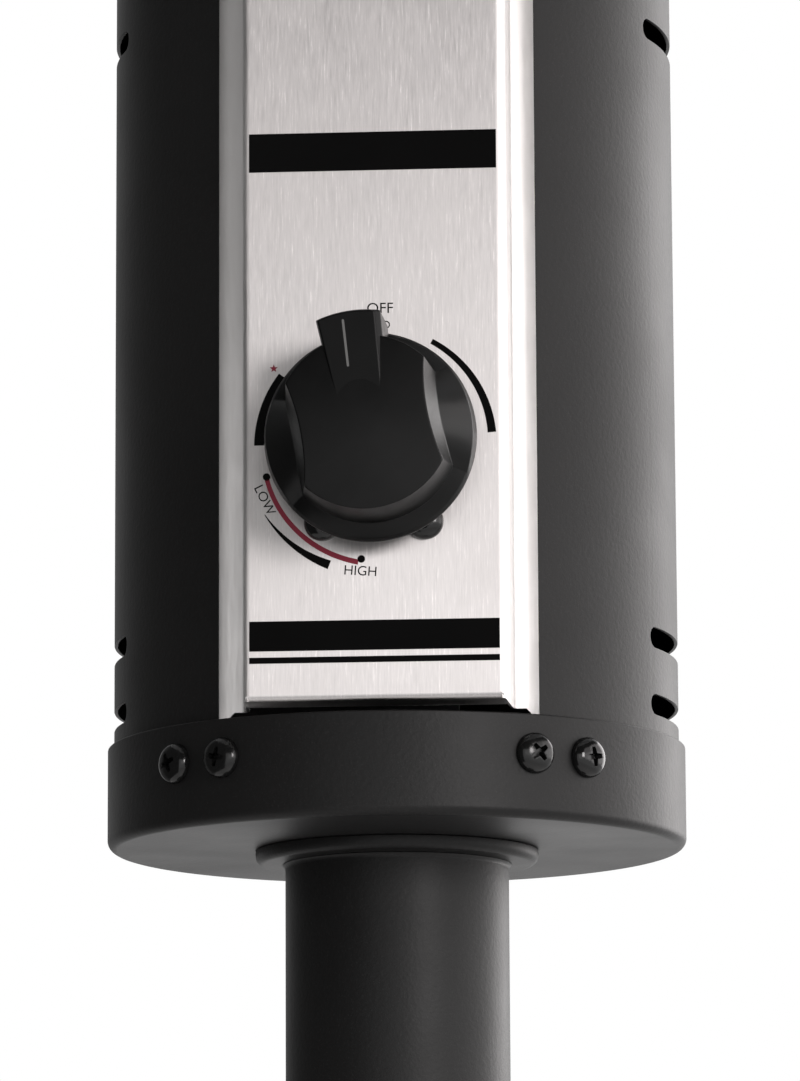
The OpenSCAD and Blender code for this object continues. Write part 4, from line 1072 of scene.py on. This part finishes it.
def dot(name, angle, r, size, steps=20):
    """A round dot on the dial."""
    centre = Vector(dial(angle, r))
    ink(name, [centre + size * on_face(FULL_TURN * i / steps) for i in range(steps)])


def hoop(name, angle, r, inner, outer):
    """A small ring, drawn as an arc that almost closes."""
    centre = Vector(dial(angle, r))
    slit, steps = 0.02, 28
    ways = [on_face(slit + (FULL_TURN - 2 * slit) * i / steps) for i in range(steps + 1)]
    ink(name, [centre + outer * way for way in ways] + [centre + inner * way for way in ways[::-1]])


def star(name, angle, r, size, points=5, notch=0.45):
    """A star on the dial; notch is how far in its corners lie."""
    centre = Vector(dial(angle, r))
    tips = []
    for i in range(2 * points):
        long = size if i % 2 == 0 else size * notch
        tips.append(centre + long * on_face(math.pi * i / points + math.pi / 2))
    ink(name, tips, RED_INK)


def word(name, letters, height, angle, r, lean):
    """A control word printed on the face, leaning by an angle anticlockwise."""
    rest()
    bpy.ops.object.text_add()
    text = bpy.context.object
    text.name = name
    text.data.body = letters
    text.data.size = height * LETTER_SIZE * MM
    text.data.align_x = "CENTER"
    text.data.align_y = "CENTER"
    text.data.extrude = INK_T / 2 * MM
    text.data.resolution_u = 4
    pick(text)
    bpy.ops.object.convert(target="MESH")
    text = bpy.context.object
    upright = Matrix.Rotation(math.radians(-lean), 4, "Y") @ Matrix.Rotation(math.pi / 2, 4, "X")
    place(text, moved(*dial(angle, r)) @ upright)
    tidy(text)
    dress(text, "stainless_panel", over=BLACK_INK)


def make_marks():
    """The print on the panel: bands, dial marks and control words."""
    band("upper_band", 169.2, 179.5)
    band("lower_band", 42.7, 50.5)
    band("lower_line", 39.5, 41.1)
    arc("right_arc", -28.6, -84.9, (30.0, 29.2), (31.4, 31.4))
    arc("left_arc", 52.5, 89.5, (28.9, 28.9), (31.5, 31.5))
    arc("flame_arc", 107.0, 171.5, (28.9, 30.4), (30.1, 31.8), RED_INK)
    arc("flame_wedge", 122.0, 159.0, (33.8, 32.4), (34.0, 34.8))
    dot("flame_dot_low", 105.9, 29.4, 1.0)
    dot("flame_dot_high", 172.8, 30.2, 1.0)
    star("spark_star", 52.1, 33.4, 1.1)
    hoop("off_ring", -5.2, 31.7, 0.75, 1.05)
    word("off_word", "OFF", 2.9, -2.1, 35.9, 0)
    word("low_word", "LOW", 2.6, 116.1, 32.1, 116 - 180)
    word("high_word", "HIGH", 2.6, 173.1, 33.4, -4)


# Post, housing and base


def make_post():
    """Steel tube, with a small weld fillet under the collar."""
    inner = POST_R - POST_T
    profile = [
        (inner, POST_LOW), (POST_R, POST_LOW), (POST_R, POST_TOP - 1.4), (POST_R + 0.25, POST_TOP - 0.6),
        (POST_R + 0.9, POST_TOP - 0.1), (inner, POST_TOP - 0.1), (inner, POST_LOW)]
    post = lathe("post_tube", profile, 120)
    ease(post, 0.3, 2, 60)
    dress(post, "black_powder_coat", nodes=["post"])


def make_collar():
    """Round flange with a well rounded lower edge."""
    low, high = POST_TOP, HEAD_Z
    profile = [
        (HOSE_HOLE_R, low), (COLLAR_R - 2.2, low), (COLLAR_R - 1.1, low + 0.3),
        (COLLAR_R - 0.3, low + 1.1), (COLLAR_R, low + 2.3), (COLLAR_R, high),
        (HOSE_HOLE_R, high), (HOSE_HOLE_R, low)]
    collar = lathe("collar", profile, 120)
    ease(collar, 0.4, 3)
    dress(collar, "head_black", nodes=["post_collar"])


def make_housing():
    """Rolled sheet drum with a folded seam at its back."""
    inner = HOUSING_R - HOUSING_T
    low, high = BASE_H, HOUSING_TOP
    profile = [
        (HOUSING_R, low), (HOUSING_R, high), (inner, high), (inner, high - HOUSING_HEM),
        (inner, low + HOUSING_HEM), (inner, low), (HOUSING_R, low)]
    housing = lathe("housing", profile, 180)
    seam = outline("seam", [(x, HOUSING_R + lift, low + 1) for x, lift in HOUSING_FOLD])
    extrude(seam, (0, 0, high - low - 2))
    thicken(seam, HOUSING_FOLD_T, 1.0)
    smooth(seam, 40)
    ease(housing, 0.3, 2, 60)
    whole = join("housing", [housing, seam])
    dress(whole, "black_powder_coat", "housing", ["bottle_housing"])


def make_lid():
    """Coned lid with its rivets, and the rubber ring that runs on the post."""
    edge_r = HOUSING_R - LID_EDGE_IN
    path = rounded([
        (LID_HOLE_R, LID_TOP), (LID_FLAT_R, LID_TOP), (edge_r, HOUSING_TOP + LID_EDGE_RISE),
        (edge_r, LID_LOW)], LID_BEND, 8)
    lid = lathe("lid", path, 180)
    thicken(lid, LID_T)
    ease(lid, 0.3, 2, 60)
    dress(lid, "black_powder_coat", "housing", ["housing_lid"])
    rivet = smooth(lathe("rivet", RIVET, 24), 50)
    z = HOUSING_TOP - RIVET_DROP
    places = [outward(i * 360 / RIVET_COUNT, HOUSING_R, z) for i in range(RIVET_COUNT)]
    rivets = repeat("rivets", rivet, places)
    dress(rivets, "black_powder_coat", "housing", ["lid_rivets"])
    grommet = refined("lid_grommet", 0.5, 3)
    dress(grommet, "rubber", "housing", ["lid_grommet"])


def make_base():
    """Pressed base pan with its anchor holes."""
    path = rounded([(0, BASE_H), (BASE_R, BASE_H), (BASE_R, 0)], BASE_BEND, 8)
    pan = lathe("pan", path, 180)
    thicken(pan, BASE_T)
    tidy(pan)
    for angle in ANCHOR_ANGLES:
        rest()
        bpy.ops.mesh.primitive_cylinder_add(vertices=40, radius=ANCHOR_R * MM, depth=0.02)
        tool = bpy.context.object
        cut(pan, place(tool, turned(angle) @ moved(ANCHOR_PITCH_R, 0, BASE_H)))
    ease(pan, 0.4, 2, 50)
    dress(pan, "black_powder_coat", nodes=["base_pan"])


def make_wheels():
    """Moulded wheels with a grooved tread and a ribbed web."""
    for name, node, side in (("right_wheel", "wheel_right", 1), ("left_wheel", "wheel_left", -1)):
        h = WHEEL_HALF_W
        edge = [(WHEEL_R - inset, h - drop) for inset, drop in TREAD_EDGE]
        tread = list(edge)
        for groove in TREAD_GROOVES:
            tread += [
                (WHEEL_R, groove + 0.9), (WHEEL_R - GROOVE_DEPTH, groove + 0.5),
                (WHEEL_R - GROOVE_DEPTH, groove - 0.5), (WHEEL_R, groove - 0.9)]
        tread += [(r, -z) for r, z in reversed(edge)]
        face = [(r, h - drop) for r, drop in WHEEL_FACE]
        back = [(r, -z) for r, z in reversed(face)]
        wheel = lathe(name, face + tread + back + face[:1], 96)
        ease(wheel, 0.3, 2, 40)
        corners = [(x, y, h - POCKET_DEPTH) for x, y in POCKET]
        pocket = outline("pocket", rounded(corners, 1.5, 4), fill=True)
        extrude(pocket, (0, 0, 6))
        places = [turned(360 / POCKET_COUNT * i) for i in range(POCKET_COUNT)]
        cut(wheel, repeat("pockets", pocket, places))
        smooth(wheel, 40)
        axle = Matrix.Rotation(side * math.pi / 2, 4, "Y")
        place(wheel, moved(side * WHEEL_MID.x, WHEEL_MID.y, WHEEL_MID.z) @ axle)
        dress(wheel, "wheel_plastic", name, [node])


# Burner, screen and reflector


def make_dish():
    """Shallow dish under the screen."""
    rim = DISH_TOP - 0.3
    path = rounded([(MIXER_HOLE_R, DISH_LOW), (DISH_FLOOR_R, DISH_LOW), (DISH_R, rim)], DISH_BEND, 6)
    dish = lathe("dish", path, 160)
    thicken(dish, DISH_T)
    tidy(dish)
    ease(dish, 0.25, 2, 60)
    dress(dish, "stainless", nodes=["burner_dish"])


def make_screen():
    """Perforated tube with rows of round-ended slots."""
    inner = SCREEN_R - SCREEN_T
    profile = [
        (SCREEN_R, SCREEN_LOW), (SCREEN_R, SCREEN_TOP), (inner, SCREEN_TOP), (inner, SCREEN_LOW),
        (SCREEN_R, SCREEN_LOW)]
    screen = lathe("screen", profile, 120)
    pitch = (SCREEN_TOP - SCREEN_LOW - 2 * SCREEN_MARGIN + SCREEN_ROW_GAP) / SCREEN_ROWS
    half = (pitch - SCREEN_ROW_GAP) / 2
    points = [(SCREEN_R - 4, w, h) for h, w in stadium(half, SCREEN_SLOT_HALF_W, 5)]
    slot = outline("slot", points, fill=True)
    extrude(slot, (8, 0, 0))
    places = []
    for row in range(SCREEN_ROWS):
        z = SCREEN_LOW + SCREEN_MARGIN + row * pitch + half
        for column in range(SCREEN_COLUMNS):
            angle = (column + row % 2 / 2) * 360 / SCREEN_COLUMNS
            places.append(moved(0, 0, z) @ turned(angle))
    cut(screen, repeat("slots", slot, places))
    smooth(screen, 40)
    dress(screen, "screen_steel", nodes=["emitter_screen"])


def make_top_plate():
    """Plate that closes the screen."""
    path = rounded([(0, PLATE_TOP), (PLATE_R, PLATE_TOP), (PLATE_R, PLATE_LOW)], PLATE_BEND, 5)
    plate = lathe("top_plate", path, 160)
    thicken(plate, PLATE_T)
    tidy(plate)
    ease(plate, 0.3, 2, 60)
    dress(plate, "stainless", nodes=["emitter_top_plate"])


def reflector_path():
    """Section of the reflector's sheet, from its middle hole to the rim's lower edge."""
    fall = CROWN_Z - RIM_LOW
    return [
        (CROWN_HOLE_R, CROWN_Z), (CROWN_R, CROWN_Z), (MID_R, CROWN_Z - MID_DROP * (fall - RIM_LIP)),
        (RIM_R - RIM_FLAT, RIM_LOW + RIM_LIP), (RIM_R, RIM_LOW + RIM_LIP - RIM_FALL), (RIM_R, RIM_LOW)]


def make_reflector():
    """Three sheet panels that meet at straight seams, with a turned-down rim."""
    for i in range(3):
        panel = lathe(
            f"reflector_third_{i + 1}", rounded(reflector_path(), SHEET_BEND, 4), 64,
            i * 120 + SEAM_GAP, 120 - 2 * SEAM_GAP)
        if max(panel.data.polygons, key=lambda face: face.area).normal.z < 0:
            edit(panel)
            bpy.ops.mesh.flip_normals()
            close()
        thicken(panel, SHEET_T)
        ease(panel, 0.25, 2, 60)
        dress(panel, "aluminium_sheet", nodes=[f"reflector_panel_{i + 1}"])
    profile = [(0, CROWN_Z), (HUB_R, CROWN_Z), (HUB_R, HUB_TOP), (0, HUB_TOP)]
    hub = lathe("hub_disc", profile, 120)
    ease(hub, 0.4, 3, 60)
    dress(hub, "aluminium_sheet", nodes=["reflector_hub"])


def seam_places():
    """Places of the seam bolts, with +Z along the sheet's outward normal."""
    path = reflector_path()
    places = []
    for i in range(3):
        for side in (-1, 1):
            for k, r in enumerate(SEAM_BOLT_R):
                (r0, z0), (r1, z1) = path[k + 1], path[k + 2]
                slope = (z1 - z0) / (r1 - r0)
                spot = (r, 0, z0 + (r - r0) * slope)
                places.append(turned(i * 120 + side * SEAM_BOLT_A) @ facing((-slope, 0, 1), spot))
    return places


def make_seam_bolts():
    """Screws along both sides of each seam."""
    screw = pan_head("seam_screw", SEAM_HEAD_R, SCREW_HEAD_H)
    screws = repeat("seam_screws", screw, seam_places())
    dress(screws, "zinc_steel", nodes=["seam_bolts"])


EASED_PIECES = (
    ("leg_back", 0.8, "black_powder_coat"), ("leg_left", 0.8, "black_powder_coat"),
    ("leg_right", 0.8, "black_powder_coat"), ("leg_foot_bolts", 0.5, "zinc_steel"),
    ("leg_post_bolts", 0.5, "zinc_steel"), ("wheel_bracket", 0.6, "black_powder_coat"),
    ("wheel_axle", 0.6, "zinc_steel"), ("axle_caps", 1.0, "wheel_plastic"),
    ("dish_screws", 0.4, "zinc_steel"), ("reflector_studs", 0.5, "zinc_steel"),
    ("stud_nuts", 0.5, "zinc_steel"), ("reflector_seams", 0.2, "aluminium_sheet"),
    ("wing_nuts", 0.6, "zinc_steel"), ("seam_nuts", 0.4, "zinc_steel"),
    ("burner_head", 0.3, "stainless"), ("pilot_bracket", 0.3, "zinc_steel"),
)


def make_small_metal():
    """Pieces whose CAD shape is right, with their edges eased."""
    for node, width, finish in EASED_PIECES:
        dress(refined(node, width), finish, nodes=[node])


INNER_PIECES = {
    "zinc_steel": ("leg_foot_nuts", "leg_post_nuts", "collar_screws", "valve_stem", "mixer_tube"),
    "dull_steel": ("valve_bracket",),
    "aluminium_cast": ("valve_body", "pilot_tube"),
    "brass": ("valve_plunger", "gas_inlet", "outlet_elbow", "gas_jet", "pilot_burner"),
    "copper": ("thermocouple",),
    "black_plastic": ("piezo_igniter", "tilt_switch"),
    "ceramic": ("spark_electrode",),
    "lead_sheath": ("ignition_lead",),
}


def finish_inner_pieces():
    """The pieces inside the head keep their CAD shape and get their finish."""
    for finish, nodes in INNER_PIECES.items():
        for node in nodes:
            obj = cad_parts[node]
            obj.data.materials.clear()
            obj.data.materials.append(FINISH[finish])


# Stage, light and camera


def reflection_card(name, start, end, radius, low, high, shade):
    """A curved card round the head that only reflections see; azimuth 0 is the front, 90 the right."""
    points = []
    for i in range(25):
        a = math.radians(start + (end - start) * i / 24)
        points.append((radius * math.sin(a), -radius * math.cos(a), low))
    card = extrude(outline(name, points), (0, 0, high - low))
    material, _, shader = new_material(name, Roughness=1.0, Specular_IOR_Level=0.0, Emission_Strength=1.0)
    shader["Base Color"].default_value = (0, 0, 0, 1)
    shader["Emission Color"].default_value = (shade, shade, shade, 1)
    card.data.materials.append(material)
    for seen in ("camera", "diffuse", "transmission", "shadow"):
        setattr(card, "visible_" + seen, False)
    return card


def make_stage():
    """Pale floor that fades into the white room, and dark cards for the room's unlit side."""
    rest()
    bpy.ops.mesh.primitive_circle_add(vertices=96, radius=FLOOR_R, fill_type="NGON")
    floor = bpy.context.object
    floor.name = "floor"
    material, tree, shader = new_material("pale_floor", Roughness=0.8, Specular_IOR_Level=0.1)
    shader["Base Color"].default_value = (0.80, 0.80, 0.80, 1)
    at = add(tree, "SeparateXYZ", Vector=add(tree, "TexCoord").outputs["Object"]).outputs
    tree.links.new(spread(tree, from_axis(tree, at), 1.0, 0.0, *FLOOR_FADE), shader["Alpha"])
    floor.data.materials.append(material)
    reflection_card("dark_left", -24, -105, *SIDE_CARD, 0.05)
    reflection_card("dim_left", -105, -135, *SIDE_CARD, 0.16)
    reflection_card("dim_rear", -135, -165, *SIDE_CARD, 0.5)
    reflection_card("dark_above", -60, 120, *HIGH_CARD, 0.05)


def make_world():
    """White where the camera, reflections and glass look; a soft low light for everything else."""
    world = bpy.data.worlds.new("studio")
    bpy.context.scene.world = world
    world.use_nodes = True
    tree = world.node_tree
    path = add(tree, "LightPath").outputs
    seen = sums(tree, "MAXIMUM", path["Is Camera Ray"], path["Is Glossy Ray"])
    seen = sums(tree, "MAXIMUM", seen, path["Is Transmission Ray"])
    ground = tree.nodes["Background"]
    tree.links.new(blend(tree, seen, (0.80, 0.79, 0.785, 1), (1, 1, 1, 1)), ground.inputs["Color"])
    ground.inputs["Strength"].default_value = 1.0


def lamp(name, azimuth, elevation, distance, size, glow):
    """A soft area lamp of a given brightness, aimed at the control head."""
    a, e = math.radians(azimuth), math.radians(elevation)
    aim = Vector((0, 0, head(HEAD_H / 2) * MM))
    way = Vector((math.sin(a) * math.cos(e), -math.cos(a) * math.cos(e), math.sin(e)))
    data = bpy.data.lights.new(name, "AREA")
    data.shape = "RECTANGLE"
    data.size, data.size_y = size
    data.energy = glow * math.pi * size[0] * size[1]
    data.color = WARM
    obj = bpy.data.objects.new(name, data)
    bpy.context.scene.collection.objects.link(obj)
    obj.location = aim + way * distance
    obj.rotation_euler = way.to_track_quat("Z", "Y").to_euler()


def make_camera():
    """Looks up at the head from the front, a little from the right."""
    data = bpy.data.cameras.new("camera")
    data.sensor_width = 36
    data.lens = CAMERA_LENS
    data.clip_start = 0.01
    camera = bpy.data.objects.new("camera", data)
    bpy.context.scene.collection.objects.link(camera)
    az, el, roll = (math.radians(x) for x in (CAMERA_AZIMUTH, CAMERA_ELEVATION, CAMERA_ROLL))
    back = Vector((math.sin(az) * math.cos(el), -math.cos(az) * math.cos(el), math.sin(el)))
    right = UP.cross(back).normalized()
    up = back.cross(right)
    across = right * math.cos(roll) + up * math.sin(roll)
    upward = up * math.cos(roll) - right * math.sin(roll)
    axes = Matrix((across, upward, back)).transposed().to_4x4()
    camera.matrix_world = Matrix.Translation(CAMERA_AIM + back * CAMERA_DISTANCE) @ axes
    bpy.context.scene.camera = camera


rest()
make_camera()
make_shell()
make_end_caps()
make_cap_screws()
make_panel()
make_knob()
make_valve_screws()
make_marks()
make_post()
make_collar()
make_housing()
make_lid()
make_base()
make_wheels()
make_dish()
make_screen()
make_top_plate()
make_reflector()
make_seam_bolts()
make_small_metal()
finish_inner_pieces()
make_stage()
make_world()
for settings in LAMPS:
    lamp(*settings)
rest()

bpy.context.scene.view_settings.view_transform = "Standard"
